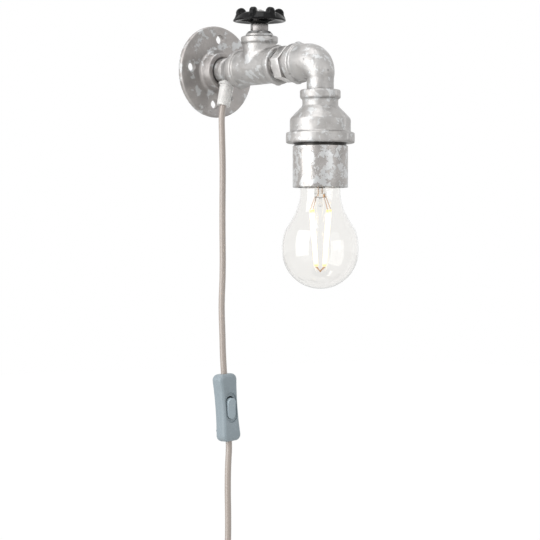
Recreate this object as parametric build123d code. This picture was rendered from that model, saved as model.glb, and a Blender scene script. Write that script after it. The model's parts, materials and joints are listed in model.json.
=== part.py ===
from build123d import *

import math
import os

# A wall light made of half-inch malleable pipe fittings, with a screw-in lamp.
# Millimetres and degrees. The origin is the centre of the flange's back face on
# the wall, +Y goes into the wall, the arm runs along -Y and +Z is up.

# Clearances
thread_play = 0.1
shaft_play = 0.08
seat_play = 0.3
press_play = 0.05

# Pipe and its thread
pipe_diameter = 21.3
pipe_bore = 16.0
thread_diameter = 20.9
thread_depth = 12.5
mouth_diameter = 24.2
mouth_depth = 1.2

# Wall flange
flange_diameter = 75.5
flange_plate = 4.0
flange_height = 12.6
flange_edge_round = 0.9
hub_diameter = 30.5
hub_foot_diameter = 36.0
hub_foot_round = 2.4
screw_circle = 54.0
screw_hole = 7.0
screw_count = 4
screw_turn = -6.0

# Arm, as distances from the wall along the arm
nipple_start = 1.0
nipple_barrel_end = 19.0
tee_start = 31.4
tee_half = 26.5
hex_start = 87.5
hex_length = 9.1
hex_across_flats = 26.0
hex_turn = 17.5
elbow_start = 101.7
arm_reach = 131.3

# Castings
casting_bore = 21.2
bead_round = 1.2
bead_foot_round = 0.9
run_bead_diameter = 31.0
run_bead_width = 6.6
run_body_diameter = 28.0
branch_height = 24.8
branch_bead_diameter = 30.0
branch_bead_width = 5.7
branch_body_diameter = 27.0
branch_blend = 2.5
lug_width = 3.4
lug_proud = 0.9
elbow_bead_diameter = 32.0
elbow_bead_width = 7.2
elbow_body_diameter = 28.9
elbow_bend = 14.0
elbow_leg_bore = 15.0
elbow_leg_end = 36.0
elbow_shoulder = 22.0

# Valve bonnet, gland and wheel, as heights above the arm's axis
bonnet_foot_diameter = 22.6
bonnet_top_diameter = 18.0
bonnet_top = 28.9
bonnet_root = 12.0
chamber_diameter = 10.2
chamber_floor = 19.0
packing_top = 23.0
gland_across_flats = 12.9
gland_turn = 34.2
gland_top = 34.9
spindle_diameter = 6.0
spindle_bottom = 9.6
spindle_collar_diameter = 9.0
spindle_collar_height = 2.2
square_size = 4.6
wheel_thread_diameter = 4.0
wheel_diameter = 43.0
wheel_skirt_bottom = 37.0
wheel_crest_radius = 15.6
wheel_crest = 43.9
wheel_rim_inner_radius = 13.6
wheel_hub_diameter = 15.6
wheel_hub_height = 6.4
wheel_arm_count = 4
wheel_arm_width = 5.6
wheel_arm_thickness = 3.4
wheel_arm_turn = 34.0
knuckle_count = 7
knuckle_turn = 5.9
knuckle_width = 5.6
knuckle_rise = 3.4
knuckle_inner_radius = 11.7
knuckle_round = 1.9
washer_diameter = 9.6
washer_thickness = 1.0
wheel_nut_across_flats = 7.0
wheel_nut_height = 3.2

# Reducer and lamp sleeve, as depths below the arm's axis
reducer_top = 23.0
reducer_top_bead_diameter = 31.9
reducer_top_bead_width = 7.0
reducer_neck_diameter = 28.2
reducer_neck_end = 35.6
reducer_body_diameter = 47.8
reducer_body_start = 45.8
reducer_body_end = 56.3
reducer_bottom = 64.9
reducer_bottom_bead_diameter = 54.0
reducer_cavity_diameter = 36.0
rib_width = 2.6
rib_proud = 1.0
rib_turn = 12.0
sleeve_thread_diameter = 41.0
sleeve_diameter = 43.4
sleeve_bore = 37.8
sleeve_thread_top = 52.0
sleeve_shoulder = 66.9
sleeve_bottom = 99.4
disc_thickness = 1.6

# Lampholder, as depths below the arm's axis
holder_thread_diameter = 10.0
holder_thread_bore = 7.4
holder_thread_top = 46.6
holder_nut_across_flats = 14.0
holder_nut_height = 3.0
holder_cap_height = 8.0
holder_wall = 1.8
holder_diameter = 35.6
holder_floor_thickness = 2.6
holder_bottom = 91.0
shell_wall = 0.4
terminal_offset = 10.4
terminal_width = 6.0
terminal_height = 3.4
terminal_screw_diameter = 3.0
terminal_screw_depth = 2.0
contact_strip_width = 5.0
contact_strip_thickness = 0.5

# Lamp
cap_diameter = 26.4
cap_wall = 0.4
cap_rim = 92.0
cap_thread_length = 19.0
cap_length = 26.5
cap_contact_diameter = 9.6
cap_tip_thickness = 1.5
glass_wall = 0.8
glass_neck_diameter = 31.8
glass_diameter = 60.2
glass_centre = 148.6
glass_root_diameter = 25.0
glass_top = 85.0
glass_neck_end = 105.0
stem_diameter = 9.4
stem_end = 107.7
stem_rod_diameter = 2.0
stem_knot_depth = 113.0
stem_knot_diameter = 3.6
filament_count = 4
filament_diameter = 1.9
filament_top = 117.0
filament_bottom = 161.0
filament_top_radius = 9.6
filament_bottom_radius = 4.6
filament_turn = 12.2
wire_diameter = 0.7

# Cord and the grip under the nipple
cord_diameter = 5.2
core_diameter = 2.2
core_spacing = 2.5
grip_reach = 20.0
grip_lean = 13.0
grip_thread_diameter = 9.8
grip_collar_diameter = 14.0
grip_collar_thickness = 2.0
grip_diameter = 11.6
grip_end_diameter = 10.8
grip_end = 30.0
grip_root = 7.0
grip_bore = 5.6
grip_screw_diameter = 3.0
grip_screw_depth = 22.0
sheath_end = 4.6

# Rocker switch on the cord
switch_length = 55.6
switch_width = 19.4
switch_thickness = 12.6
switch_waist = 1.5
switch_corner = 5.0
switch_round = 3.2
switch_wall = 1.6
switch_face = 2.6
cord_tuck = 5.0
switch_lean = 5.3
switch_drop = 276.8
switch_shift = -3.2
recess_length = 25.0
recess_width = 11.6
recess_depth = 1.1
rocker_length = 17.4
rocker_width = 8.2
rocker_play = 0.3
rocker_end_play = 0.8
rocker_tilt = 8.0
rocker_pivot_depth = 4.2
rocker_proud = 1.5
pivot_diameter = 2.0
ear_thickness = 1.2
ear_radius = 1.9
boss_offset = 5.8
boss_reach = 18.6
boss_diameter = 4.8
boss_screw_reach = 2.6
screw_shank = 2.2
screw_head = 3.6
screw_head_depth = 1.5
block_offset = 3.6
block_size = 4.0
block_reach = 11.4

# Plug
plug_width = 35.3
plug_thickness = 13.7
plug_length = 36.0
plug_neck = 12.0
plug_corner = 5.8
pin_diameter = 4.0
pin_sleeve_diameter = 3.8
pin_core_diameter = 3.0
pin_length = 19.0
pin_sleeve_length = 10.0
pin_spacing = 18.6
pin_buried = 8.0

# Put-away coil: turns per layer, and the pitch between turns
coil_outer_radius = 41.0
coil_pitch = 5.7
coil_entry_angle = 140.0
coil_exit_angle = 180.0
coil_whole_turns = 7
coil_centre_x = 2.0
coil_centre_z = -465.0
coil_straight = 6.0
tie_angle = 166.0
tie_width = 8.0
tie_wall = 1.2
tie_play = 0.45

# Places worked out from the sizes above
thread_radius = thread_diameter / 2
tapped_radius = thread_radius + thread_play
tee_centre = tee_start + tee_half
tee_end = tee_centre + tee_half
hex_end = hex_start + hex_length
cord_radius = cord_diameter / 2
disc_top = sleeve_thread_top - disc_thickness
holder_top = sleeve_thread_top + holder_cap_height
cap_top = cap_rim - cap_thread_length
contact_top = cap_rim - cap_length
grip_axis = Vector(-math.sin(math.radians(grip_lean)), 0, -math.cos(math.radians(grip_lean)))
grip_centre = Vector(0, -grip_reach, 0)
switch_axis = Vector(math.sin(math.radians(switch_lean)), 0, -math.cos(math.radians(switch_lean)))
switch_centre = Vector(switch_shift, -grip_reach, -switch_drop)
coil_turns = coil_whole_turns + (coil_exit_angle - coil_entry_angle) / 360

on_arm = Rot(90, 0, 0)
on_branch = Pos(0, -tee_centre, 0)
on_lamp = Pos(0, -arm_reach, 0) * Rot(180, 0, 0)
on_grip = Pos(0, -grip_reach, 0) * Rot(0, grip_lean, 0) * Rot(180, 0, 0)
on_switch = Pos(*switch_centre) * Rot(0, -switch_lean, 0)
BASE = (Align.CENTER, Align.CENTER, Align.MIN)


def turned(*corners):
    """Solid turned about Z from (radius, height, rounding) corners in order."""
    points = [(radius, 0, height) for radius, height, _ in corners]
    roundings = [rounding for _, _, rounding in corners]
    outline = FilletPolyline(*points, radius=roundings, close=True)
    return revolve(make_face(outline), Axis.Z)


def rod(radius, low, high):
    return Pos(0, 0, low) * Cylinder(radius, high - low, align=BASE)


def ring(outer_radius, inner_radius, low, high):
    return rod(outer_radius, low, high) - rod(inner_radius, low, high)


def rounded_rod(radius, low, high, rounding):
    bare = rod(radius, low, high)
    return fillet(bare.edges().filter_by(GeomType.CIRCLE), rounding)


def hexagon(across_flats, low, high, turn, rounding):
    """Hexagon with its corners turned down at both ends."""
    sketch = RegularPolygon(across_flats / 2, 6, major_radius=False, rotation=turn)
    blank = Pos(0, 0, low) * extrude(sketch, high - low)
    corner_radius = across_flats / math.sqrt(3)
    rims = rod(corner_radius, low, high).edges().filter_by(GeomType.CIRCLE)
    return blank & chamfer(rims, rounding)


def mouth(low, outward):
    """Countersink at a tapped mouth whose face is at low, opening outward."""
    deep = low - outward * mouth_depth
    wide = mouth_diameter / 2
    over = low + outward
    return turned((0, over, 0), (wide, over, 0), (wide, low, 0), (tapped_radius, deep, 0), (0, deep, 0))


def tube_along(route, radii, diameter):
    """Round tube along straight runs joined by tangent arcs."""
    path = FilletPolyline(*route, radius=radii)
    section = Plane(origin=path @ 0, z_dir=path % 0) * Circle(diameter / 2)
    return sweep(section, path=path)


def corner_radii(route):
    """Radius of each corner of a free route: 0.45 of the shorter run over tan(half the turn)."""
    radii = []
    for before, corner, after in zip(route, route[1:], route[2:]):
        run_in = Vector(*corner) - Vector(*before)
        run_out = Vector(*after) - Vector(*corner)
        half_turn = math.radians(run_in.get_angle(run_out)) / 2
        radii.append(0.45 * min(run_in.length, run_out.length) / math.tan(half_turn))
    return radii


def free_cord(name, route):
    radii = corner_radii(route)
    solid = tube_along(route, radii, cord_diameter)
    length = FilletPolyline(*route, radius=radii).length
    share = solid.volume / (length * math.pi * cord_radius**2)
    print(name, "radii", [round(radius) for radius in radii])
    print(name, "length", round(length, 1), "volume share", round(share, 4))
    return solid, length


# Wall flange and the arm


def wall_flange():
    edge = flange_diameter / 2
    foot = hub_foot_diameter / 2
    plate = turned(
        (0, 0, 0),
        (edge, 0, 0),
        (edge, flange_plate, flange_edge_round),
        (foot, flange_plate, hub_foot_round),
        (hub_diameter / 2, flange_height, flange_edge_round),
        (0, flange_height, 0),
    )
    holes = PolarLocations(screw_circle / 2, screw_count, start_angle=screw_turn)
    for place in holes:
        plate -= place * rod(screw_hole / 2, -1, flange_plate + 1)
    plate -= rod(tapped_radius, -1, flange_height + 1)
    return on_arm * (plate - mouth(flange_height, 1))


def flange_nipple():
    end = tee_start + thread_depth - 1
    barrel = rod(thread_radius, nipple_start, end)
    barrel += rod(pipe_diameter / 2, flange_height, nipple_barrel_end)
    barrel -= rod(pipe_bore / 2, nipple_start - 1, end + 1)
    tapping = on_grip * rod(grip_thread_diameter / 2 + thread_play, 0, pipe_diameter)
    return on_arm * barrel - tapping


def run_casting():
    """The tee's run with its branch, before it is bored."""
    run = rod(run_body_diameter / 2, tee_start + 1, tee_end - 1)
    neck = on_branch * rod(branch_body_diameter / 2, 0, branch_height - 1)
    body = on_arm * run + neck
    crotch = body.edges().filter_by(GeomType.CIRCLE, reverse=True).filter_by(GeomType.LINE, reverse=True)
    body = fillet(crotch, branch_blend)
    for low in (tee_start, tee_end - run_bead_width):
        body += on_arm * rounded_rod(run_bead_diameter / 2, low, low + run_bead_width, bead_round)
    low = branch_height - branch_bead_width
    body += on_branch * rounded_rod(branch_bead_diameter / 2, low, branch_height, bead_round)
    return body


def lugs(bead_radius, low, high):
    """Two small casting lugs where the mould halves met on a bead."""
    lug = Box(lug_width, 2 * (bead_radius + lug_proud), high - low - 2 * bead_round)
    return Pos(0, 0, (low + high) / 2) * (lug - Cylinder(bead_radius - 1, high - low))


def tee_body():
    body = run_casting()
    body += on_branch * lugs(branch_bead_diameter / 2, branch_height - branch_bead_width, branch_height)
    for low in (tee_start, tee_end - run_bead_width):
        body += on_arm * lugs(run_bead_diameter / 2, low, low + run_bead_width)
    body -= on_arm * rod(casting_bore / 2 - 0.4, tee_start - 1, tee_end + 1)
    for low in (tee_start - 1, tee_end - thread_depth):
        body -= on_arm * rod(tapped_radius, low, low + thread_depth + 1)
    body -= on_arm * mouth(tee_start, -1)
    body -= on_arm * mouth(tee_end, 1)
    body -= on_branch * rod(tapped_radius, 0, branch_height + 1)
    return body


def hex_nipple():
    start = tee_end - thread_depth + 1
    end = elbow_start + thread_depth - 1
    body = rod(thread_radius, start, end)
    body += hexagon(hex_across_flats, hex_start, hex_end, hex_turn, bead_round)
    return on_arm * (body - rod(pipe_bore / 2, start - 1, end + 1))


def bend(radii):
    """Quarter bend from the arm down to the lamp, through three round sections."""
    centre = Vector(0, elbow_bend - arm_reach, -elbow_bend)
    sections = []
    for angle, radius in zip((0, 45, 90), radii):
        across = math.sin(math.radians(angle)) * elbow_bend
        lift = math.cos(math.radians(angle)) * elbow_bend
        ahead = Vector(0, -math.cos(math.radians(angle)), -math.sin(math.radians(angle)))
        spot = centre + Vector(0, -across, lift)
        sections.append(Plane(origin=spot, x_dir=(1, 0, 0), z_dir=ahead) * Circle(radius))
    start = centre + Vector(0, 0, elbow_bend)
    path = TangentArc(start, centre + Vector(0, -elbow_bend, 0), tangent=(0, -1, 0))
    return sweep(sections, path=path, multisection=True)


def street_elbow():
    bend_start = arm_reach - elbow_bend
    body_radius = elbow_body_diameter / 2
    leg_radius = pipe_diameter / 2
    body = on_arm * rod(body_radius, elbow_start + 1, bend_start)
    body += bend((body_radius, (body_radius + leg_radius) / 2 + 0.8, leg_radius))
    body += on_lamp * rod(leg_radius, elbow_bend, elbow_shoulder)
    body += on_lamp * rod(thread_radius, elbow_shoulder, elbow_leg_end)
    bead_end = elbow_start + elbow_bead_width
    body += on_arm * rounded_rod(elbow_bead_diameter / 2, elbow_start, bead_end, bead_round)
    body += on_arm * lugs(elbow_bead_diameter / 2, elbow_start, bead_end)
    body -= on_arm * rod(tapped_radius, elbow_start - 1, bend_start)
    body -= on_arm * mouth(elbow_start, -1)
    body -= bend((tapped_radius - 0.2, (tapped_radius + elbow_leg_bore / 2) / 2, elbow_leg_bore / 2))
    body -= on_lamp * rod(elbow_leg_bore / 2, elbow_bend, elbow_leg_end + 1)
    return body


# Valve bonnet, gland, spindle and wheel


def bonnet():
    shaft = spindle_diameter / 2 + shaft_play
    chamber = chamber_diameter / 2
    body = turned(
        (chamber, chamber_floor, 0),
        (chamber, bonnet_top, 0),
        (bonnet_top_diameter / 2, bonnet_top, 0.8),
        (bonnet_foot_diameter / 2 - 0.3, branch_height + 2.0, 1.6),
        (bonnet_foot_diameter / 2, branch_height, 0),
        (thread_radius, branch_height, 0),
        (thread_radius, bonnet_root, 0),
        (shaft, bonnet_root, 0),
        (shaft, chamber_floor, 0),
    )
    return on_branch * body


def gland_nut():
    shaft = spindle_diameter / 2 + shaft_play
    body = hexagon(gland_across_flats, bonnet_top, gland_top, gland_turn, 0.7)
    body += rod(chamber_diameter / 2 - thread_play, packing_top, bonnet_top)
    return on_branch * (body - rod(shaft, packing_top - 1, gland_top + 1))


def gland_packing():
    outer = chamber_diameter / 2 - press_play
    return on_branch * ring(outer, spindle_diameter / 2 + shaft_play, chamber_floor, packing_top)


def valve_spindle():
    hub_bottom = gland_top + seat_play
    hub_top = hub_bottom + wheel_hub_height
    end = hub_top + washer_thickness + wheel_nut_height + 0.8
    collar_top = bonnet_root - seat_play
    body = rod(spindle_diameter / 2, spindle_bottom, hub_bottom + 1.2)
    body += rod(spindle_collar_diameter / 2, collar_top - spindle_collar_height, collar_top)
    square = Pos(0, 0, hub_bottom) * Box(square_size, square_size, wheel_hub_height - 0.4, align=BASE)
    body += Rot(0, 0, knuckle_turn) * square
    body += rounded_rod(wheel_thread_diameter / 2, hub_bottom + 2, end, 0.4)
    return on_branch * body


def wheel_rim():
    edge = wheel_diameter / 2
    inner = wheel_rim_inner_radius
    return turned(
        (edge - 0.3, wheel_skirt_bottom, 0),
        (edge, wheel_skirt_bottom + 1.0, 0),
        (wheel_crest_radius + 2.6, wheel_crest - 1.2, 2.4),
        (wheel_crest_radius, wheel_crest, 1.4),
        (inner, wheel_crest - 1.6, 0.8),
        (inner, wheel_skirt_bottom + 1.6, 0.8),
        (edge - 2.6, wheel_skirt_bottom, 0),
    )


def knuckle():
    """Finger knuckle: an arched rib across the rim, rounded along its crest."""
    edge = wheel_diameter / 2
    crest = wheel_crest + knuckle_rise
    line = Line((knuckle_inner_radius, 0, wheel_crest - 3.4), (knuckle_inner_radius, 0, wheel_crest - 0.6))
    arch = ThreePointArc(line @ 1, (wheel_crest_radius + 0.2, 0, crest), (edge - 1.7, 0, wheel_crest - 1.6))
    flank = Line(arch @ 1, (edge, 0, wheel_skirt_bottom + 1.0))
    foot = Polyline(flank @ 1, (edge - 2.0, 0, wheel_skirt_bottom + 0.6), line @ 0)
    blank = extrude(make_face([line, arch, flank, foot]), knuckle_width / 2, both=True)
    side_edges = [edge for edge in blank.edges() if abs(edge.center().Y) > 1]
    crown = [edge for edge in side_edges if edge.center().Z > wheel_skirt_bottom + 2.5]
    return fillet(crown, knuckle_round)


def handwheel():
    bottom = gland_top + seat_play
    hub_top = bottom + wheel_hub_height
    body = wheel_rim() + rounded_rod(wheel_hub_diameter / 2, bottom, hub_top, 0.8)
    reach = wheel_rim_inner_radius + 2.4
    rise = wheel_skirt_bottom + 1.4 - bottom
    for turn in range(wheel_arm_count):
        start = Plane(origin=(4, 0, bottom + wheel_arm_thickness / 2 + 0.2), z_dir=(1, 0, 0))
        finish = Plane(origin=(reach, 0, bottom + rise + wheel_arm_thickness / 2), z_dir=(1, 0, 0))
        faces = [plane * RectangleRounded(wheel_arm_width, wheel_arm_thickness, 1.2, rotation=90)
                 for plane in (start, finish)]
        body += Rot(0, 0, wheel_arm_turn + turn * 360 / wheel_arm_count) * loft(faces)
    for turn in range(knuckle_count):
        body += Rot(0, 0, knuckle_turn + turn * 360 / knuckle_count) * knuckle()
    hole = square_size + 2 * press_play
    socket = Pos(0, 0, bottom - 1) * Box(hole, hole, wheel_hub_height + 2, align=BASE)
    body -= Rot(0, 0, knuckle_turn) * socket
    body -= rod(spindle_diameter / 2 + press_play, bottom - 1, bottom + 1.3)
    return on_branch * body


def wheel_washer():
    low = gland_top + seat_play + wheel_hub_height
    inner = wheel_thread_diameter / 2 + thread_play
    return on_branch * ring(washer_diameter / 2, inner, low, low + washer_thickness)


def wheel_nut():
    low = gland_top + seat_play + wheel_hub_height + washer_thickness
    high = low + wheel_nut_height
    body = hexagon(wheel_nut_across_flats, low, high, knuckle_turn, 0.4)
    return on_branch * (body - rod(wheel_thread_diameter / 2 + thread_play, low - 1, high + 1))


# Reducer, sleeve and lampholder. Depths grow along +Z here and hang down in the frame.


def bell_reducer():
    top_bead = reducer_top_bead_diameter / 2
    neck = reducer_neck_diameter / 2
    belly = reducer_body_diameter / 2
    rim = reducer_bottom_bead_diameter / 2
    tapped = sleeve_thread_diameter / 2 + thread_play
    bead_end = reducer_top + reducer_top_bead_width
    cavity = reducer_cavity_diameter / 2
    thread_end = reducer_top + thread_depth
    body = turned(
        (tapped_radius, reducer_top, 0),
        (top_bead, reducer_top, bead_round),
        (top_bead, bead_end, bead_round),
        (neck, bead_end, bead_foot_round),
        (neck, reducer_neck_end, 2.0),
        (belly, reducer_body_start, 4.0),
        (belly, reducer_body_end, 1.0),
        (rim, reducer_body_end, bead_round),
        (rim, reducer_bottom, bead_round),
        (tapped, reducer_bottom, 0),
        (tapped, disc_top, 0),
        (cavity, disc_top, 0),
        (cavity, reducer_body_start + 1.4, 1.0),
        (tapped_radius, thread_end + 1.0, 1.0),
    )
    rib_height = reducer_body_end - reducer_body_start + 1.4
    rib = Box(rib_width, 2 * (belly + rib_proud), rib_height)
    rib = fillet(rib.edges().filter_by(Axis.Z), 0.8)
    rib = Pos(0, 0, reducer_body_end - rib_height / 2) * (rib - Cylinder(belly - 1, rib_height))
    body += Rot(0, 0, -rib_turn) * rib
    body += Rot(0, 0, -rib_turn) * lugs(rim, reducer_body_end, reducer_bottom)
    body += Rot(0, 0, -rib_turn) * lugs(top_bead, reducer_top, bead_end)
    return on_lamp * (body - mouth(reducer_top, -1))


def lamp_sleeve():
    bore = sleeve_bore / 2
    neck = sleeve_thread_diameter / 2
    skirt = sleeve_diameter / 2
    return on_lamp * turned(
        (bore, sleeve_thread_top, 0),
        (neck - 0.6, sleeve_thread_top, 0),
        (neck, sleeve_thread_top + 0.8, 0),
        (neck, sleeve_shoulder, 0),
        (skirt, sleeve_shoulder, 0.5),
        (skirt, sleeve_bottom, 0.4),
        (bore, sleeve_bottom, 0.3),
    )


def mounting_disc():
    outer = sleeve_thread_diameter / 2 - press_play
    inner = holder_thread_diameter / 2 + thread_play
    return on_lamp * ring(outer, inner, disc_top, sleeve_thread_top)


def holder_nipple():
    end = sleeve_thread_top + holder_wall + 0.8
    return on_lamp * ring(holder_thread_diameter / 2, holder_thread_bore / 2, holder_thread_top, end)


def holder_nut():
    low = disc_top - holder_nut_height
    body = hexagon(holder_nut_across_flats, low, disc_top, 0, 0.8)
    return on_lamp * (body - rod(holder_thread_diameter / 2 + thread_play, low - 1, disc_top + 1))


def holder_cap():
    outer = holder_diameter / 2
    inner = outer - holder_wall
    low = sleeve_thread_top
    hole = holder_thread_diameter / 2 + thread_play
    return on_lamp * turned(
        (hole, low, 0),
        (outer - 3.0, low, 0.8),
        (outer, low + 3.0, 0.8),
        (outer, holder_top, 0),
        (inner, holder_top, 0),
        (inner, low + 3.4, 0.8),
        (inner - 2.4, low + holder_wall, 0.8),
        (hole, low + holder_wall, 0),
    )


def holder_shell_radius():
    return cap_diameter / 2 + shaft_play


def holder_body():
    outer = holder_diameter / 2
    inner = holder_shell_radius() + shell_wall + press_play
    floor = holder_top + holder_floor_thickness
    body = turned(
        (0, holder_top, 0),
        (outer, holder_top, 0),
        (outer, holder_bottom, 0.6),
        (inner, holder_bottom, 0),
        (inner, floor, 0),
        (0, floor, 0),
    )
    hole = rod(terminal_screw_diameter / 2 + press_play, -1, terminal_screw_depth + 0.3)
    for side in (-1, 1):
        body -= Pos(side * terminal_offset, 0, holder_top) * hole
    return on_lamp * body


def holder_shell():
    inner = holder_shell_radius()
    floor = holder_top + holder_floor_thickness
    return on_lamp * turned(
        (cap_contact_diameter / 2 + 3, floor, 0),
        (inner + shell_wall, floor, 0),
        (inner + shell_wall, holder_bottom - 1, 0),
        (inner, holder_bottom - 1, 0),
        (inner, floor + shell_wall, 0),
        (cap_contact_diameter / 2 + 3, floor + shell_wall, 0),
    )


def centre_contact():
    """Hairpin spring on the holder's floor that bears on the lamp's tip."""
    floor = holder_top + holder_floor_thickness
    tip = contact_top - shaft_play
    thick = contact_strip_thickness
    corners = [
        (-4.6, floor, 0),
        (5.4, floor, 0.9),
        (5.4, tip - 0.9, 0.8),
        (2.0, tip, 0.8),
        (-2.4, tip, 0.8),
        (-4.4, tip - 0.8, 0),
        (-4.2, tip - 0.8 - thick, 0),
        (-2.3, tip - thick, 0.5),
        (1.9, tip - thick, 0.5),
        (5.4 - thick, tip - 1.3, 0.5),
        (5.4 - thick, floor + thick, 0.5),
        (-4.6, floor + thick, 0),
    ]
    points = [(across, 0, depth) for across, depth, _ in corners]
    outline = FilletPolyline(*points, radius=[rounding for _, _, rounding in corners], close=True)
    return on_lamp * extrude(make_face(outline), contact_strip_width / 2, both=True)


def holder_terminals():
    """Brass clamp blocks with their screws, one solid a side."""
    blocks = []
    for side in (-1, 1):
        spot = Pos(side * terminal_offset, 0, holder_top - terminal_height / 2)
        block = spot * Box(terminal_width, terminal_width, terminal_height)
        screw = rod(terminal_screw_diameter / 2, holder_top - 1, holder_top + terminal_screw_depth)
        blocks.append(on_lamp * (block + Pos(side * terminal_offset, 0, 0) * screw))
    return Compound(blocks)


# Lamp


def bulb_cap():
    outer = cap_diameter / 2
    shoulder = outer - 1.0
    return on_lamp * turned(
        (outer, cap_rim, 0),
        (outer - cap_wall, cap_rim, 0),
        (outer - cap_wall, cap_top + 1.4, 0),
        (shoulder - cap_wall, cap_top, 0),
        (shoulder, cap_top, 0),
        (outer, cap_top + 1.2, 0),
    )


def bulb_insulator():
    shoulder = cap_diameter / 2 - 1.0 - press_play
    tip = cap_contact_diameter / 2
    low = contact_top + cap_tip_thickness + press_play
    return on_lamp * turned(
        (0, low, 0),
        (tip + 0.8, low, 0.3),
        (shoulder - cap_wall, cap_top - 1.4, 0),
        (shoulder - cap_wall, cap_top + 0.6, 0),
        (0, cap_top + 0.6, 0),
    )


def bulb_contact():
    radius = cap_contact_diameter / 2
    base = contact_top + cap_tip_thickness
    return on_lamp * rounded_rod(radius, contact_top, base, cap_tip_thickness / 3)


def glass_line(inset):
    """Half outline of the glass from its root in the cap to its lowest point."""
    root = glass_root_diameter / 2 - inset
    neck = glass_neck_diameter / 2 - inset
    widest = glass_diameter / 2 - inset
    throat = cap_rim + 0.6
    stem = Line((root, 0, glass_top), (root, 0, throat))
    shoulder = Spline((root, 0, throat), (neck, 0, throat + 6.0), tangents=((0, 0, 1), (0, 0, 1)))
    straight = Line(shoulder @ 1, (neck, 0, glass_neck_end))
    swell = Spline(
        straight @ 1,
        (neck + 1.6, 0, glass_neck_end + 9.0),
        (neck + 5.9, 0, glass_neck_end + 18.3),
        (widest - 2.7, 0, glass_centre - 16.0),
        (widest, 0, glass_centre),
        tangents=((0, 0, 1), (0, 0, 1)),
    )
    bowl = TangentArc(swell @ 1, (0, 0, glass_centre + widest), tangent=(0, 0, 1))
    return [stem, shoulder, straight, swell, bowl]


def bulb_glass():
    outside = glass_line(0)
    inside = glass_line(glass_wall)
    rim = Line(outside[0] @ 0, inside[0] @ 0)
    pole = Line(outside[-1] @ 1, inside[-1] @ 1)
    return on_lamp * revolve(make_face([*outside, pole, *inside, rim]), Axis.Z)


def bulb_stem():
    """Flared glass stem with its rod and the knot that steadies the filaments."""
    tube = stem_diameter / 2
    flare = glass_root_diameter / 2 - glass_wall - press_play
    wall = glass_wall
    top = glass_top + 0.4
    body = turned(
        (flare, top, 0),
        (flare, top + wall, 0),
        (tube, top + 6.0, 2.0),
        (tube, stem_end, 1.2),
        (0, stem_end, 0),
        (0, stem_end - 3.0, 0),
        (tube - wall, stem_end - 3.0, 0.8),
        (tube - wall, top + 6.0 - wall, 2.0),
        (flare - 1.2, top, 0),
    )
    body += rod(stem_rod_diameter / 2, stem_end - 1, stem_knot_depth)
    body += Pos(0, 0, stem_knot_depth) * Sphere(stem_knot_diameter / 2)
    return on_lamp * body


def stick(start, end, diameter):
    """Straight round stick between two points."""
    run = Vector(*end) - Vector(*start)
    return Plane(origin=start, z_dir=run) * Cylinder(diameter / 2, run.length, align=BASE)


def filament_ends(index):
    """Top and bottom points of one filament in the lamp's own frame."""
    angle = math.radians(-filament_turn + index * 360 / filament_count)
    across = Vector(math.cos(angle), math.sin(angle), 0)
    top = across * filament_top_radius + Vector(0, 0, filament_top)
    bottom = across * filament_bottom_radius + Vector(0, 0, filament_bottom)
    return across, top, bottom


def bulb_filaments():
    sticks = []
    for index in range(filament_count):
        _, top, bottom = filament_ends(index)
        sticks.append(on_lamp * stick(top, bottom, filament_diameter))
    return Compound(sticks)


def bulb_wires():
    """Feed wires from the stem to each filament, and the spider that joins their feet."""
    hub = Vector(0, 0, filament_bottom + 4.0)
    spider = Pos(*hub) * Sphere(wire_diameter)
    solids = []
    for index in range(filament_count):
        across, top, bottom = filament_ends(index)
        start = across * (stem_diameter / 2 + 0.42) + Vector(0, 0, stem_end - 1.4)
        feed = top - Vector(0, 0, 0.5)
        solids.append(on_lamp * stick(start, feed, wire_diameter))
        spider += stick(bottom + Vector(0, 0, 0.5), hub, wire_diameter)
    solids.append(on_lamp * spider)
    return Compound(solids)


# Cord grip and the leads inside the arm


def cord_grip():
    saddle = pipe_diameter / 2 + press_play
    collar = saddle + grip_collar_thickness
    bore = grip_bore / 2
    body = turned(
        (bore, grip_root, 0),
        (grip_thread_diameter / 2, grip_root, 0.5),
        (grip_thread_diameter / 2, saddle, 0),
        (grip_collar_diameter / 2, saddle, 0.5),
        (grip_collar_diameter / 2, collar, 0.7),
        (grip_diameter / 2, collar, 0.5),
        (grip_end_diameter / 2, grip_end, 0.7),
        (bore, grip_end, 0.5),
    )
    hole = Pos(0, 0, grip_screw_depth) * Rot(0, 90, 0)
    return on_grip * (body - hole * rod(grip_screw_diameter / 2 + press_play, 0, grip_diameter))


def cord_grip_screw():
    """Slotted screw that bears on the cord from the side."""
    head = grip_diameter / 2 + press_play
    body = rod(grip_screw_diameter / 2, cord_radius + press_play, head)
    body += rounded_rod(grip_screw_diameter / 2 + 0.8, head, head + 1.4, 0.3)
    body -= Pos(0, 0, head + 1.1) * Box(0.7, grip_diameter, 1.0)
    return on_grip * Pos(0, 0, grip_screw_depth) * Rot(0, 90, 0) * body


def cord_entry():
    """The end of the cord's sheath, held in the grip."""
    return on_grip * rod(cord_radius, sheath_end, grip_end)


def lead(side):
    """One insulated core from the sheath's end through the arm to its terminal."""
    lean = math.radians(grip_lean)
    across = Vector(math.cos(lean), 0, -math.sin(lean)) * (side * core_spacing / 2)
    drop = holder_top - terminal_height / 2
    reach = side * (terminal_offset - terminal_width / 2 - press_play)
    route = [
        grip_centre + grip_axis * sheath_end + across,
        grip_centre + grip_axis * 0.4 + across,
        Vector(side * core_spacing / 2, -arm_reach, -0.4),
        Vector(side * core_spacing / 2, -arm_reach, -drop),
        Vector(reach, -arm_reach, -drop),
    ]
    return tube_along(route, [3.0, 8.0, 2.2], core_diameter)


# Rocker switch. Its own frame has the cord along Z and the rocker facing -Y.


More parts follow.
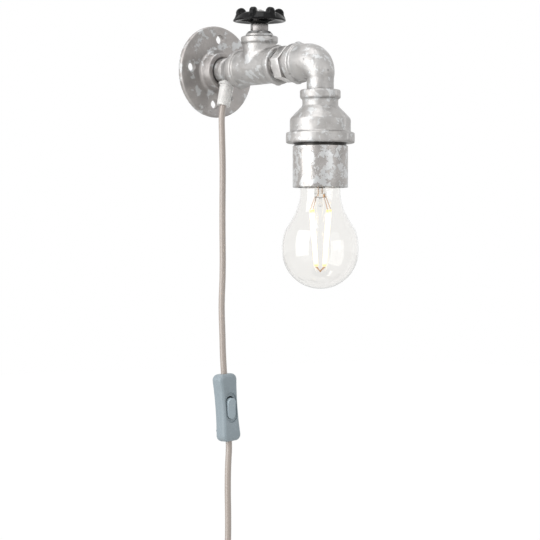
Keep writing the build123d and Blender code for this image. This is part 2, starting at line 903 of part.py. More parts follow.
def switch_outline(inset):
    """Front outline with drawn-in sides and rounded corners."""
    half = switch_width / 2 - inset
    end = switch_length / 2 - inset
    waist = half - switch_waist
    top = Line((-half, 0, end), (half, 0, end))
    right = ThreePointArc((half, 0, end), (waist, 0, 0), (half, 0, -end))
    bottom = Line((half, 0, -end), (-half, 0, -end))
    left = ThreePointArc((-half, 0, -end), (-waist, 0, 0), (-half, 0, end))
    face = make_face([top, right, bottom, left])
    return fillet(face.vertices(), switch_corner - inset)


def switch_half(side, face_wall):
    """Half shell with its floor at the given side, -1 for the front, open at the joint."""
    depth = switch_thickness / 2
    shell = extrude(switch_outline(0), depth, dir=(0, side, 0))
    outer_edges = shell.faces().sort_by(Axis.Y)[0 if side < 0 else -1].edges()
    shell = fillet(outer_edges, switch_round)
    shell -= extrude(switch_outline(switch_wall), depth - face_wall, dir=(0, side, 0))
    for end in (-1, 1):
        spot = Pos(0, 0, end * (switch_length - switch_wall) / 2)
        shell -= spot * Cylinder(cord_radius + press_play, 2 * switch_wall)
    return shell


def switch_bosses(side, face_wall):
    depth = switch_thickness / 2 - face_wall / 2
    bosses = []
    for end in (-1, 1):
        spot = Pos(end * boss_offset, 0, end * boss_reach) * Rot(-side * 90, 0, 0)
        bosses.append(spot * rod(boss_diameter / 2, 0, depth))
    return bosses


def stadium(length, width, near, far):
    """Prism with round ends along Z, from near to far across the thickness."""
    return Pos(0, near, 0) * Rot(-90, 0, 0) * extrude(SlotOverall(length, width, rotation=90), far - near)


def switch_front():
    front = -switch_thickness / 2
    body = switch_half(-1, switch_face)
    for boss in switch_bosses(-1, switch_face):
        body += boss
    for side in (-1, 1):
        ear = Pos(side * (rocker_width / 2 + 2 * rocker_play + ear_thickness / 2), 0, 0)
        low = front + switch_face - 0.2
        high = front + rocker_pivot_depth + ear_radius
        block = Pos(0, (low + high) / 2, 0) * Box(ear_thickness, high - low, 2 * ear_radius)
        body += ear * block
    axle = Pos(0, front + rocker_pivot_depth, 0) * Rot(0, 90, 0)
    axle_length = rocker_width + 4 * rocker_play + 2 * ear_thickness
    body -= axle * Cylinder(pivot_diameter / 2 + shaft_play, axle_length)
    body -= stadium(recess_length, recess_width, front - 1, front + recess_depth)
    length = rocker_length + 2 * rocker_end_play
    body -= stadium(length, rocker_width + 2 * rocker_play, front - 1, front + switch_face + 0.01)
    for screw in (-1, 1):
        spot = Pos(screw * boss_offset, 0, screw * boss_reach) * Rot(90, 0, 0)
        body -= spot * rod(screw_shank / 2 + press_play, -1, boss_screw_reach)
    return on_switch * body


def switch_back():
    body = switch_half(1, switch_wall)
    for boss in switch_bosses(1, switch_wall):
        body += boss
    back = switch_thickness / 2
    for screw in (-1, 1):
        spot = Pos(screw * boss_offset, 0, screw * boss_reach) * Rot(-90, 0, 0)
        body -= spot * rod(screw_shank / 2 + press_play, -1, back + 1)
        body -= spot * rod(screw_head / 2 + press_play, back - screw_head_depth, back + 1)
    return on_switch * body


def switch_screws():
    back = switch_thickness / 2
    screws = []
    for end in (-1, 1):
        spot = on_switch * Pos(end * boss_offset, 0, end * boss_reach) * Rot(-90, 0, 0)
        head = back - screw_head_depth + press_play
        screw = rod(screw_shank / 2, press_play - boss_screw_reach, head)
        screw += rod(screw_head / 2, head, back - 0.4)
        screws.append(spot * screw)
    return Compound(screws)


def switch_rocker():
    """Rocker with trunnions, pressed in at its lower end."""
    front = -switch_thickness / 2
    pivot = front + rocker_pivot_depth
    half = rocker_length / 2
    floor = front + switch_face - 0.2
    crest = front - rocker_proud
    top = ThreePointArc((0, crest, half), (0, crest + 0.7, 0), (0, crest, -half))
    below = [(0, floor, -half), (0, pivot, -2.2), (0, pivot, 2.2), (0, floor, half)]
    sides = Polyline(top @ 1, *below, top @ 0)
    body = extrude(make_face([top, sides]), rocker_width / 2, dir=(1, 0, 0), both=True)
    body = body & stadium(rocker_length, rocker_width, front - 4, pivot + 1)
    rims = [edge for edge in body.edges() if edge.center().Y < crest + 0.8]
    body = fillet(rims, 0.5)
    axle = Pos(0, pivot, 0) * Rot(0, 90, 0)
    body += axle * Cylinder(2.2, rocker_width - 2.4)
    body += axle * Cylinder(pivot_diameter / 2, rocker_width + 4 * rocker_play + 2 * ear_thickness - 0.4)
    tilt = Pos(0, pivot, 0) * Rot(rocker_tilt, 0, 0) * Pos(0, -pivot, 0)
    return on_switch * tilt * body


def switch_terminals():
    """Brass blocks that clamp the switched core, above and below the rocker."""
    floor = switch_thickness / 2 - switch_wall - press_play
    blocks = []
    for end in (-1, 1):
        spot = Pos(block_offset, floor - block_size / 2, end * block_reach)
        block = spot * Box(block_size, block_size, block_size + 1)
        blocks.append(on_switch * fillet(block.edges().filter_by(Axis.Z), 0.5))
    return Compound(blocks)


def switch_contacts():
    """Brass tongues that reach from the blocks to under the rocker."""
    floor = switch_thickness / 2 - switch_wall - press_play
    strips = []
    for end in (-1, 1):
        start = block_reach - block_size / 2 - 0.5 - press_play
        strip = Box(block_size - 1, contact_strip_thickness, start - 2)
        spot = Pos(block_offset, floor - contact_strip_thickness / 2, end * (start + 2) / 2)
        strips.append(on_switch * spot * strip)
    return Compound(strips)


def switch_cores():
    """The through core and the two ends of the switched core."""
    floor = switch_thickness / 2 - switch_wall - press_play
    level = floor - block_size / 2
    half = switch_length / 2 - cord_tuck
    side = core_spacing / 2
    through = [(-side, 0, half), (-side, 0, half - 3.4), (-block_offset, level, half - 11.0)]
    through += [(x, y, -z) for x, y, z in reversed(through)]
    solids = [on_switch * tube_along(through, [3.0, 3.0, 3.0, 3.0], core_diameter)]
    for end in (-1, 1):
        stop = block_reach + block_size / 2 + 0.5 + press_play
        route = [
            (side, 0, end * half),
            (side, 0, end * (half - 5.4)),
            (block_offset, level, end * (stop + 1.05)),
            (block_offset, level, end * stop),
        ]
        solids.append(on_switch * tube_along(route, [1.4, 1.4], core_diameter))
    return Compound(solids)


# Free cord, its coil, tie and plug


def switch_spot(distance):
    """Point on the switch's long axis, positive towards the plug."""
    return switch_centre + switch_axis * distance


def upper_route():
    return [
        grip_centre + grip_axis * grip_end,
        grip_centre + grip_axis * (grip_end + 8.0),
        Vector(-7.9, -19.9, -52.0),
        Vector(-7.3, -20.3, -80.0),
        Vector(-7.6, -19.9, -122.0),
        Vector(-7.1, -20.2, -164.0),
        Vector(-8.6, -19.9, -193.0),
        Vector(-7.6, -20.1, -216.0),
        switch_spot(-switch_length / 2 - 13.0),
        switch_spot(-switch_length / 2 + cord_tuck),
    ]


def lower_route():
    return [
        switch_spot(switch_length / 2 - cord_tuck),
        switch_spot(switch_length / 2 + 4.0),
        Vector(-1.6, -20.2, -322.0),
        Vector(-1.9, -19.9, -343.0),
        Vector(-1.4, -20.1, -368.0),
        Vector(-1.7, -20.0, -396.0),
        coil_lead(-28.0),
        coil_lead(-coil_straight),
    ]


def tail_route():
    end = coil_exit(coil_straight)
    return [
        end,
        end + Vector(0, 0, -10.0),
        end + Vector(0.7, -0.3, -22.0),
        end + Vector(0, 0, -33.0),
        end + Vector(0, 0, -42.0),
    ]


def coil_lead(distance):
    """Point on the straight line by which the cord enters the coil's front layer."""
    spot, heading = coil_spot(-coil_turns / 2)
    return spot + heading * distance


def coil_exit(distance):
    spot, heading = coil_spot(coil_turns / 2)
    return spot + heading * distance


def coil_spot(turn):
    """Point and heading of the coil's line, counted in turns from its reversal."""
    reach = coil_turns / 2
    angle = math.radians(coil_entry_angle + 360 * (turn + reach))
    radius = coil_outer_radius - coil_pitch * (reach - abs(turn))
    share = min(max(2 * turn + 0.5, 0), 1)
    climb = coil_pitch * share * share * (3 - 2 * share)
    outward = Vector(math.cos(angle), 0, math.sin(angle))
    around = Vector(-math.sin(angle), 0, math.cos(angle))
    spot = Vector(coil_centre_x, climb - grip_reach, coil_centre_z) + outward * radius
    if abs(turn) >= reach - 1e-6:
        return spot, around
    drift = 0 if turn == 0 else math.copysign(coil_pitch, turn)
    rise = 2 * coil_pitch * 6 * share * (1 - share)
    heading = around * (2 * math.pi * radius) + outward * drift + Vector(0, rise, 0)
    return spot, heading.normalized()


def biarc(start, start_heading, end, end_heading):
    """Two arcs that leave one point and reach the next along the given headings."""
    across = end - start
    both = start_heading + end_heading
    bend_share = 2 * (1 - start_heading.dot(end_heading))
    along = across.dot(both)
    reach = (math.sqrt(along**2 + bend_share * across.dot(across)) - along) / bend_share
    middle = (start + end + (start_heading - end_heading) * reach) / 2
    first = TangentArc(start, middle, tangent=start_heading)
    second = TangentArc(middle, end, tangent=first % 1)
    return [first, second]


def cord_coil():
    """Two layers of turns in one unbroken tube, wound in and out again."""
    reach = coil_turns / 2
    whole = int((reach - 0.25) / 0.5)
    inner = [0.25 + 0.5 * step for step in range(whole + 1)]
    nodes = [-reach] + [-turn for turn in reversed(inner)] + [0] + inner + [reach]
    path = [Line(coil_lead(-coil_straight), coil_lead(0))]
    for before, after in zip(nodes, nodes[1:]):
        path += biarc(*coil_spot(before), *coil_spot(after))
    path.append(Line(coil_exit(0), coil_exit(coil_straight)))
    section = Plane(origin=path[0] @ 0, z_dir=path[0] % 0) * Circle(cord_radius)
    length = sum(edge.length for edge in path)
    solid = sweep(section, path=Wire(path))
    share = solid.volume / (length * math.pi * cord_radius**2)
    print("cord_coil length", round(length, 1), "volume share", round(share, 4))
    print("cord_coil least gap to itself", round(least_gap(path), 2))
    return solid, length


def least_gap(path):
    """Least gap between turns, measured on points along the coil's line."""
    spots = []
    run = 0
    for edge in path:
        spots += [(run + edge.length * step / 16, edge @ (step / 16)) for step in range(16)]
        run += edge.length
    gap = math.inf
    for index, (along, spot) in enumerate(spots):
        for further, other in spots[index:]:
            if further - along > 3 * cord_diameter:
                gap = min(gap, (spot - other).length)
    return gap - cord_diameter


def coil_tie():
    """Strap round all the turns, across both layers."""
    turns_in = coil_outer_radius - coil_pitch * coil_turns / 2
    low = turns_in - cord_radius - tie_play
    high = coil_outer_radius + cord_radius + tie_play
    depth = coil_pitch + cord_diameter + 2 * tie_play
    inner = RectangleRounded(high - low, depth, 2.0)
    outer = RectangleRounded(high - low + 2 * tie_wall, depth + 2 * tie_wall, 2.0 + tie_wall)
    strap = extrude(outer - inner, tie_width / 2, both=True)
    middle = Vector(coil_centre_x, coil_pitch / 2 - grip_reach, coil_centre_z)
    spot = Pos(*middle) * Rot(0, -tie_angle, 0) * Pos((low + high) / 2, 0, 0)
    return spot * strap


def on_plug():
    return Pos(*tail_route()[-1]) * Rot(180, 0, 0)


def plug_body():
    neck = RectangleRounded(plug_neck, plug_neck - 2, plug_neck / 2 - 1.2)
    waist_outline = RectangleRounded(plug_neck + 6, plug_neck - 1, plug_neck / 2 - 0.8)
    waist = Pos(0, 0, plug_length * 0.3) * waist_outline
    face_outline = RectangleRounded(plug_width, plug_thickness, plug_corner)
    shoulder = Pos(0, 0, plug_length * 0.62) * face_outline
    body = loft([neck, waist, shoulder], ruled=True)
    body += Pos(0, 0, plug_length * 0.62) * extrude(face_outline, plug_length * 0.38)
    for side in (-1, 1):
        hole = rod(pin_core_diameter / 2 + press_play, plug_length - pin_buried, plug_length + 1)
        body -= Pos(side * pin_spacing / 2, 0, 0) * hole
    return on_plug() * body


def plug_pins():
    pins = []
    for side in (-1, 1):
        shoulder = plug_length + pin_sleeve_length
        core = rod(pin_core_diameter / 2, plug_length - pin_buried + press_play, shoulder)
        tip = rounded_rod(pin_diameter / 2, shoulder, plug_length + pin_length, 0.9)
        pins.append(on_plug() * Pos(side * pin_spacing / 2, 0, 0) * (core + tip))
    return Compound(pins)


def plug_pin_sleeves():
    sleeves = []
    for side in (-1, 1):
        inner = pin_core_diameter / 2 + press_play
        end = plug_length + pin_sleeve_length
        sleeve = ring(pin_sleeve_diameter / 2, inner, plug_length, end)
        sleeves.append(on_plug() * Pos(side * pin_spacing / 2, 0, 0) * sleeve)
    return Compound(sleeves)


def build():
    os.makedirs("parts", exist_ok=True)
    upper, upper_length = free_cord("cord_upper", upper_route())
    lower, lower_length = free_cord("cord_lower", lower_route())
    tail, tail_length = free_cord("cord_tail", tail_route())
    coil, coil_length = cord_coil()
    whole = upper_length + lower_length + tail_length + coil_length + switch_length - 2 * cord_tuck
    print("cord from grip to plug", round(whole, 1))
    nodes = {
        "wall_flange": wall_flange(),
        "flange_nipple": flange_nipple(),
        "tee_body": tee_body(),
        "hex_nipple": hex_nipple(),
        "street_elbow": street_elbow(),
        "bonnet": bonnet(),
        "gland_nut": gland_nut(),
        "gland_packing": gland_packing(),
        "valve_spindle": valve_spindle(),
        "handwheel": handwheel(),
        "wheel_washer": wheel_washer(),
        "wheel_nut": wheel_nut(),
        "bell_reducer": bell_reducer(),
        "lamp_sleeve": lamp_sleeve(),
        "mounting_disc": mounting_disc(),
        "holder_nipple": holder_nipple(),
        "holder_nut": holder_nut(),
        "holder_cap": holder_cap(),
        "holder_body": holder_body(),
        "holder_shell": holder_shell(),
        "holder_terminals": holder_terminals(),
        "centre_contact": centre_contact(),
        "bulb_cap": bulb_cap(),
        "bulb_insulator": bulb_insulator(),
        "bulb_contact": bulb_contact(),
        "bulb_glass": bulb_glass(),
        "bulb_stem": bulb_stem(),
        "bulb_filaments": bulb_filaments(),
        "bulb_wires": bulb_wires(),
        "cord_grip": cord_grip(),
        "cord_grip_screw": cord_grip_screw(),
        "cord_entry": cord_entry(),
        "lead_brown": lead(-1),
        "lead_blue": lead(1),
        "cord_upper": upper,
        "switch_front": switch_front(),
        "switch_back": switch_back(),
        "switch_rocker": switch_rocker(),
        "switch_screws": switch_screws(),
        "switch_terminals": switch_terminals(),
        "switch_contacts": switch_contacts(),
        "switch_cores": switch_cores(),
        "cord_lower": lower,
        "cord_coil": coil,
        "coil_tie": coil_tie(),
        "cord_tail": tail,
        "plug_body": plug_body(),
        "plug_pins": plug_pins(),
        "plug_pin_sleeves": plug_pin_sleeves(),
    }
    for name, solid in nodes.items():
        export_step(solid, f"parts/{name}.step")


build()
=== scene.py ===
import json
import math

import bmesh
import bpy
from bpy.props import FloatProperty, FloatVectorProperty, IntProperty, PointerProperty
from mathutils import Matrix, Vector, noise


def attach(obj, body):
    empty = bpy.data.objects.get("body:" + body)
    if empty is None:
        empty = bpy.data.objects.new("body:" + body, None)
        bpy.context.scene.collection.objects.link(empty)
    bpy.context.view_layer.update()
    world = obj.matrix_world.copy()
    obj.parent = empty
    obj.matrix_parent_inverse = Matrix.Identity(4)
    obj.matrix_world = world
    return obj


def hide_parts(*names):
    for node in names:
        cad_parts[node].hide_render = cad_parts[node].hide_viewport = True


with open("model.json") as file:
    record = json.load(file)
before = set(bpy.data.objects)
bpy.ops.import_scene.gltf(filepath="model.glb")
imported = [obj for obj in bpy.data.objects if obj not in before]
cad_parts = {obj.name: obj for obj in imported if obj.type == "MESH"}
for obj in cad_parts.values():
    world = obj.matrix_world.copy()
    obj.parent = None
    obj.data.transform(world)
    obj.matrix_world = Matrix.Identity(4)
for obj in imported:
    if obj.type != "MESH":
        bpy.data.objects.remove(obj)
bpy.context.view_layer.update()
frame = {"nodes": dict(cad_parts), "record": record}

bl_info = {
    "name": "Pipe Wall Light",
    "version": (1, 0, 0),
    "blender": (4, 5, 0),
    "location": "View3D > Sidebar > Pipe Light",
    "description": "Builds the looks of a wall light made of pipe fittings round its packed frame",
    "category": "Add Mesh",
}

MM = 0.001

# Places of the light's parts. Each has its own axis along local Z.
ARM_REACH = 0.1313
BRANCH_REACH = 0.0579
GRIP_REACH = 0.02
GRIP_LEAN = 13
DOWNWARD = Matrix.Rotation(math.pi, 4, "X")
ARM = Matrix(((1, 0, 0, 0), (0, 0, -1, 0), (0, 1, 0, 0), (0, 0, 0, 1)))
BRANCH = Matrix.Translation((0, -BRANCH_REACH, 0))
LAMP = Matrix.Translation((0, -ARM_REACH, 0)) @ DOWNWARD
GRIP = Matrix.Translation((0, -GRIP_REACH, 0)) @ Matrix.Rotation(math.radians(GRIP_LEAN), 4, "Y") @ DOWNWARD

# Sizes that several pieces share, in millimetres from a part's own axis or along it
BORE = 8.0
THREAD = 10.0
TAPPED = 10.55
PIPE = 10.65
BEAD_ROUND = 1.2
FLANGE = 37.75
HUB_TOP = 12.6
SCREW_CIRCLE = 27
SCREW_TURN = -6
RUN_START, RUN_END = 31.4, 84.4
RUN, LEG = 14.0, 13.5
RUN_BEAD = 15.5
RUN_BEAD_WIDTH = 6.6
ELBOW_START = 101.7
ELBOW_BEND = 14.0
ELBOW_STRAIGHT_END = 117.3
SHOULDER = 66.9
FILAMENT_TOP, FILAMENT_FOOT = 117.0, 161.0


# Sizes and colours that a user would change


class PipeLightSizes(bpy.types.PropertyGroup):
    """Sizes of the light's details, in metres and degrees."""

    pipe_thread_pitch: FloatProperty(
        name="Pipe thread pitch", description="Distance between turns of the pipe thread",
        default=0.001814, min=0.0005, unit="LENGTH",
    )
    cap_thread_pitch: FloatProperty(
        name="Cap thread pitch", description="Distance between turns of the lamp cap's thread",
        default=0.003629, min=0.001, unit="LENGTH",
    )
    cord_diameter: FloatProperty(
        name="Cord diameter", description="Outside of the cord's sheath", default=0.0052, min=0.003,
        unit="LENGTH",
    )
    coil_outer_radius: FloatProperty(
        name="Coil radius", description="Middle of the outermost turn of the put-away cord",
        default=0.041, min=0.03, unit="LENGTH",
    )
    coil_pitch: FloatProperty(
        name="Coil pitch", description="Distance between neighbouring turns", default=0.0057, min=0.005,
        unit="LENGTH",
    )
    grain_depth: FloatProperty(
        name="Casting roughness", description="Height of the castings' skin relief", default=0.00012,
        min=0.0, unit="LENGTH",
    )
    voxel: FloatProperty(
        name="Casting skin detail", description="Edge length of the castings' faces", default=0.00055,
        min=0.0003, unit="LENGTH",
    )
    segments: IntProperty(
        name="Round segments", description="Faces round a turned part", default=96, min=24, max=256,
    )


class PipeLightColours(bpy.types.PropertyGroup):
    """Base colours of the light's finishes."""

    casting: FloatVectorProperty(
        name="Casting", description="Dull zinc of the castings", subtype="COLOR", size=3, min=0, max=1,
        default=(0.46, 0.452, 0.445),
    )
    zinc_patch: FloatVectorProperty(
        name="Zinc patches", description="Paler patches in the zinc", subtype="COLOR", size=3, min=0,
        max=1, default=(0.60, 0.61, 0.615),
    )
    # The flange's colour is darker and browner than the castings', partly its own zinc and partly painted
    # shade: the warm bounce light on the shaded flange.
    flange: FloatVectorProperty(
        name="Flange", description="Browner zinc of the wall flange", subtype="COLOR", size=3, min=0,
        max=1, default=(0.42, 0.40, 0.39),
    )
    steel: FloatVectorProperty(
        name="Sleeve", description="Zinc of the lamp sleeve", subtype="COLOR", size=3, min=0, max=1,
        default=(0.42, 0.405, 0.395),
    )
    enamel: FloatVectorProperty(
        name="Wheel enamel", description="Thick enamel on the wheel", subtype="COLOR", size=3, min=0,
        max=1, default=(0.005, 0.005, 0.0055),
    )
    sheath: FloatVectorProperty(
        name="Cord sheath", description="Smooth sheath of the cord", subtype="COLOR", size=3, min=0,
        max=1, default=(0.37, 0.32, 0.285),
    )
    switch: FloatVectorProperty(
        name="Switch", description="Moulded switch and plug", subtype="COLOR", size=3, min=0, max=1,
        default=(0.26, 0.31, 0.34),
    )
    glow: FloatVectorProperty(
        name="Filament glow", description="Light of the filaments", subtype="COLOR", size=3, min=0, max=1,
        default=(1.0, 0.66, 0.20),
    )


def sizes():
    return bpy.context.scene.pipe_light_sizes


def colours():
    return bpy.context.scene.pipe_light_colours


# Shader helpers


def link_or_set(tree, socket, value):
    """Links a socket's value, or sets it where it is plain."""
    if isinstance(value, bpy.types.NodeSocket):
        tree.links.new(value, socket)
    else:
        socket.default_value = value


def add_node(tree, kind, inputs=None, **settings):
    """A node with its settings made and its inputs set or linked."""
    made = tree.nodes.new(kind)
    for key, value in settings.items():
        setattr(made, key, value)
    for key, value in (inputs or {}).items():
        link_or_set(tree, made.inputs[key], value)
    return made


def math_node(tree, operation, first, second=0.0):
    return add_node(tree, "ShaderNodeMath", {0: first, 1: second}, operation=operation).outputs[0]


def remap(tree, value, low, high, to_low, to_high):
    inputs = {"Value": value, "From Min": low, "From Max": high, "To Min": to_low, "To Max": to_high}
    return add_node(tree, "ShaderNodeMapRange", inputs).outputs["Result"]


def place_of(tree):
    """Place of the shaded point in the piece's own frame."""
    return add_node(tree, "ShaderNodeTexCoord").outputs["Object"]


def noise_at(tree, where, scale, detail=2.0, **more):
    """Noise texture over a place. Further inputs go by their names."""
    inputs = {"Vector": where, "Scale": scale, "Detail": detail, **more}
    return add_node(tree, "ShaderNodeTexNoise", inputs).outputs[0]


def cells_at(tree, where, scale):
    """Distance to the middle of the nearest cell."""
    return add_node(tree, "ShaderNodeTexVoronoi", {"Vector": where, "Scale": scale}).outputs["Distance"]


def mix_rgb(tree, factor, first, second):
    """Colour mix. The node's colour sockets share names with its other types, so they are found by type."""
    made = tree.nodes.new("ShaderNodeMix")
    made.data_type = "RGBA"
    wanted = {"A": first, "B": second}
    for socket in made.inputs:
        if socket.type == "RGBA" and socket.name in wanted:
            link_or_set(tree, socket, wanted[socket.name])
        elif socket.name == "Factor" and socket.type == "VALUE":
            link_or_set(tree, socket, factor)
    return next(socket for socket in made.outputs if socket.type == "RGBA")


def shader_group(name, inputs, outputs):
    """Empty shader node group with its input sockets, and its two end nodes."""
    tree = bpy.data.node_groups.new(name, "ShaderNodeTree")
    for label, value in inputs.items():
        kind = "NodeSocketVector" if isinstance(value, tuple) else "NodeSocketFloat"
        socket = tree.interface.new_socket(name=label, in_out="INPUT", socket_type=kind)
        socket.default_value = value
    for label in outputs:
        tree.interface.new_socket(name=label, in_out="OUTPUT", socket_type="NodeSocketFloat")
    return tree, tree.nodes.new("NodeGroupInput").outputs, tree.nodes.new("NodeGroupOutput").inputs


def close_group(tree, made, **results):
    """Links a group's results to its outputs."""
    for label, value in results.items():
        tree.links.new(value, made[label])
    return tree


def grain_group():
    """Sand-cast skin: fine grain, soft lumps, pits and zinc blotches."""
    scales = {"Grain Scale": 900.0, "Lump Scale": 160.0, "Blotch Scale": 60.0}
    tree, given, made = shader_group("Cast Grain", scales, ("Relief", "Blotch", "Pits"))
    where = place_of(tree)
    grain = noise_at(tree, where, given["Grain Scale"], 3.0, Roughness=0.6)
    lumps = noise_at(tree, where, given["Lump Scale"])
    blotch = noise_at(tree, where, given["Blotch Scale"], 5.0, Roughness=0.62, Distortion=0.4)
    pits = remap(tree, cells_at(tree, where, given["Lump Scale"]), 0.05, 0.22, 1.0, 0.0)
    pits = math_node(tree, "MULTIPLY", pits, remap(tree, lumps, 0.55, 0.62, 0.0, 1.0))
    relief = math_node(tree, "MULTIPLY", grain, 0.45)
    relief = math_node(tree, "ADD", relief, math_node(tree, "MULTIPLY", lumps, 0.75))
    relief = math_node(tree, "SUBTRACT", relief, math_node(tree, "MULTIPLY", pits, 0.5))
    blotch = remap(tree, blotch, 0.35, 0.65, 0.0, 1.0)
    return close_group(tree, made, Relief=relief, Blotch=blotch, Pits=pits)


def patches_group():
    """Zinc patches: islands with crisp ragged borders, the thin line round them, and bright flecks."""
    scales = {"Patch Scale": 75.0, "Cover": 0.5, "Fleck Scale": 420.0}
    tree, given, made = shader_group("Zinc Patches", scales, ("Patch", "Border", "Fleck"))
    where = place_of(tree)
    ragged = add_node(tree, "ShaderNodeTexNoise", {"Vector": where, "Scale": 520.0, "Detail": 4.0})
    push = {0: ragged.outputs["Color"], "Scale": 0.0055}
    shift = add_node(tree, "ShaderNodeVectorMath", push, operation="SCALE").outputs[0]
    moved_to = add_node(tree, "ShaderNodeVectorMath", {0: where, 1: shift}, operation="ADD").outputs[0]
    islands = noise_at(tree, moved_to, given["Patch Scale"], 3.0, Roughness=0.55)
    level = math_node(tree, "SUBTRACT", islands, math_node(tree, "SUBTRACT", 1.0, given["Cover"]))
    patch = remap(tree, level, -0.004, 0.008, 0.0, 1.0)
    border = remap(tree, math_node(tree, "ABSOLUTE", level), 0.0, 0.014, 1.0, 0.0)
    gate = remap(tree, noise_at(tree, where, given["Patch Scale"], 1.0), 0.5, 0.56, 0.0, 1.0)
    fleck = remap(tree, cells_at(tree, moved_to, given["Fleck Scale"]), 0.12, 0.2, 1.0, 0.0)
    fleck = math_node(tree, "MULTIPLY", fleck, gate)
    return close_group(tree, made, Patch=patch, Border=border, Fleck=fleck)


def turned_group():
    """Fine tool lines round the Z axis, for drawn and turned parts."""
    inputs = {"Axis": (0.0, 0.0, 1.0), "Line Scale": 2600.0}
    tree, given, made = shader_group("Turned Lines", inputs, ("Lines",))
    ends = {0: place_of(tree), 1: given["Axis"]}
    along = add_node(tree, "ShaderNodeVectorMath", ends, operation="DOT_PRODUCT").outputs["Value"]
    line = {
        "W": math_node(tree, "MULTIPLY", along, given["Line Scale"]), "Scale": 1.0, "Detail": 3.0,
        "Roughness": 0.7,
    }
    lines = add_node(tree, "ShaderNodeTexNoise", line, noise_dimensions="1D")
    return close_group(tree, made, Lines=lines.outputs[0])


def handling_group():
    """Smudges and dust: where a surface has been touched, and where it has dulled."""
    tree, given, made = shader_group("Handling", {"Scale": 120.0}, ("Smudge", "Dust"))
    where = place_of(tree)
    smudge = noise_at(tree, where, given["Scale"], 6.0, Roughness=0.65, Distortion=0.8)
    dust = noise_at(tree, where, math_node(tree, "MULTIPLY", given["Scale"], 14.0))
    smudge = remap(tree, smudge, 0.38, 0.66, 0.0, 1.0)
    return close_group(tree, made, Smudge=smudge, Dust=remap(tree, dust, 0.60, 0.74, 0.0, 1.0))


def moulded_group():
    """Spark-eroded mould texture of plastic parts."""
    tree, given, made = shader_group("Moulded Skin", {"Scale": 1800.0}, ("Relief", "Shade"))
    where = place_of(tree)
    relief = noise_at(tree, where, given["Scale"], Roughness=0.55)
    return close_group(tree, made, Relief=relief, Shade=noise_at(tree, where, 70.0, 3.0))


GROUPS = {
    "Cast Grain": grain_group, "Zinc Patches": patches_group, "Turned Lines": turned_group,
    "Handling": handling_group, "Moulded Skin": moulded_group,
}


def effect(tree, name, **values):
    """One of the shared effects, placed in a material with its own values."""
    group = bpy.data.node_groups.get(name) or GROUPS[name]()
    made = tree.nodes.new("ShaderNodeGroup")
    made.node_tree = group
    for key, value in values.items():
        made.inputs[key.replace("_", " ")].default_value = value
    return made.outputs


def new_material(name, **principled):
    """Material with a Principled shader whose plain values are set."""
    made = bpy.data.materials.new(name)
    made.use_nodes = True
    shader = made.node_tree.nodes["Principled BSDF"]
    for key, value in principled.items():
        shader.inputs[key.replace("_", " ")].default_value = value
    return made, made.node_tree, shader


def shade(tree, shader, colour, roughness, height, distance, strength):
    """Links what changes over the surface to the shader, and gives it its relief."""
    if colour is not None:
        tree.links.new(colour, shader.inputs["Base Color"])
    tree.links.new(roughness, shader.inputs["Roughness"])
    bump = add_node(tree, "ShaderNodeBump", {"Height": height, "Distance": distance, "Strength": strength})
    tree.links.new(bump.outputs[0], shader.inputs["Normal"])


def tone(colour, factor):
    return tuple(min(1.0, channel * factor) for channel in colour) + (1.0,)


# Materials, one for each of the record's slots and a few that share a slot


def galvanised(name, base, cover, patch_scale, rough, grain):
    """Hot-dipped zinc: dull base, paler crisp patches, flecks and pits, over the grain of the surface."""
    pale = colours().zinc_patch
    made, tree, shader = new_material(name, Metallic=0.85)
    skin = effect(tree, "Cast Grain")
    zinc = effect(tree, "Zinc Patches", Patch_Scale=patch_scale, Cover=cover)
    smudge = effect(tree, "Handling", Scale=70.0)["Smudge"]
    colour = mix_rgb(tree, skin["Blotch"], tone(base, 0.84), tone(base, 1.12))
    colour = mix_rgb(tree, zinc["Patch"], colour, tone(pale, 1.0))
    layers = (
        (zinc["Border"], 0.3, tone(base, 0.55)), (zinc["Fleck"], 0.5, tone(pale, 1.15)),
        (skin["Pits"], 0.75, tone(base, 0.35)), (smudge, 0.16, (0.36, 0.31, 0.27, 1.0)),
    )
    for mask, amount, paint in layers:
        colour = mix_rgb(tree, math_node(tree, "MULTIPLY", mask, amount), colour, paint)
    roughness = remap(tree, zinc["Patch"], 0.0, 1.0, rough, rough + 0.08)
    roughness = math_node(tree, "ADD", roughness, math_node(tree, "MULTIPLY", smudge, 0.06))
    height = math_node(tree, "MULTIPLY", skin["Relief"], grain)
    for mask, amount in ((zinc["Patch"], 0.16), (zinc["Fleck"], 0.2)):
        height = math_node(tree, "ADD", height, math_node(tree, "MULTIPLY", mask, amount))
    shade(tree, shader, colour, roughness, height, 0.0006, 0.7)
    return made


def hex_zinc():
    """Milled faces of the hexagon nipple under a thin dip, brighter than the castings, partly as milled
    zinc and partly as a painted highlight for the key lamp's reflection.
    """
    return galvanised("hex_zinc", [channel * 1.6 for channel in colours().casting], 0.4, 150.0, 0.3, 0.5)


def bright_steel():
    """Drawn tube, dipped in zinc, with ragged patches, and the thread above its shoulder painted near black
    as painted shade of the gap under the reducer.
    """
    made = galvanised("bright_steel", colours().steel, 0.49, 170.0, 0.24, 0.35)
    tree = made.node_tree
    colour = tree.nodes["Principled BSDF"].inputs["Base Color"]
    height = add_node(tree, "ShaderNodeSeparateXYZ", {0: place_of(tree)}).outputs["Z"]
    # Painted shade: the thread above the shoulder is painted near black for the shadow in the gap between
    # reducer and sleeve.
    gap_shade = remap(tree, height, -(SHOULDER + 0.3) * MM, -SHOULDER * MM, 0.0, 1.0)
    tree.links.new(mix_rgb(tree, gap_shade, colour.links[0].from_socket, (0.04, 0.038, 0.036, 1.0)), colour)
    return made


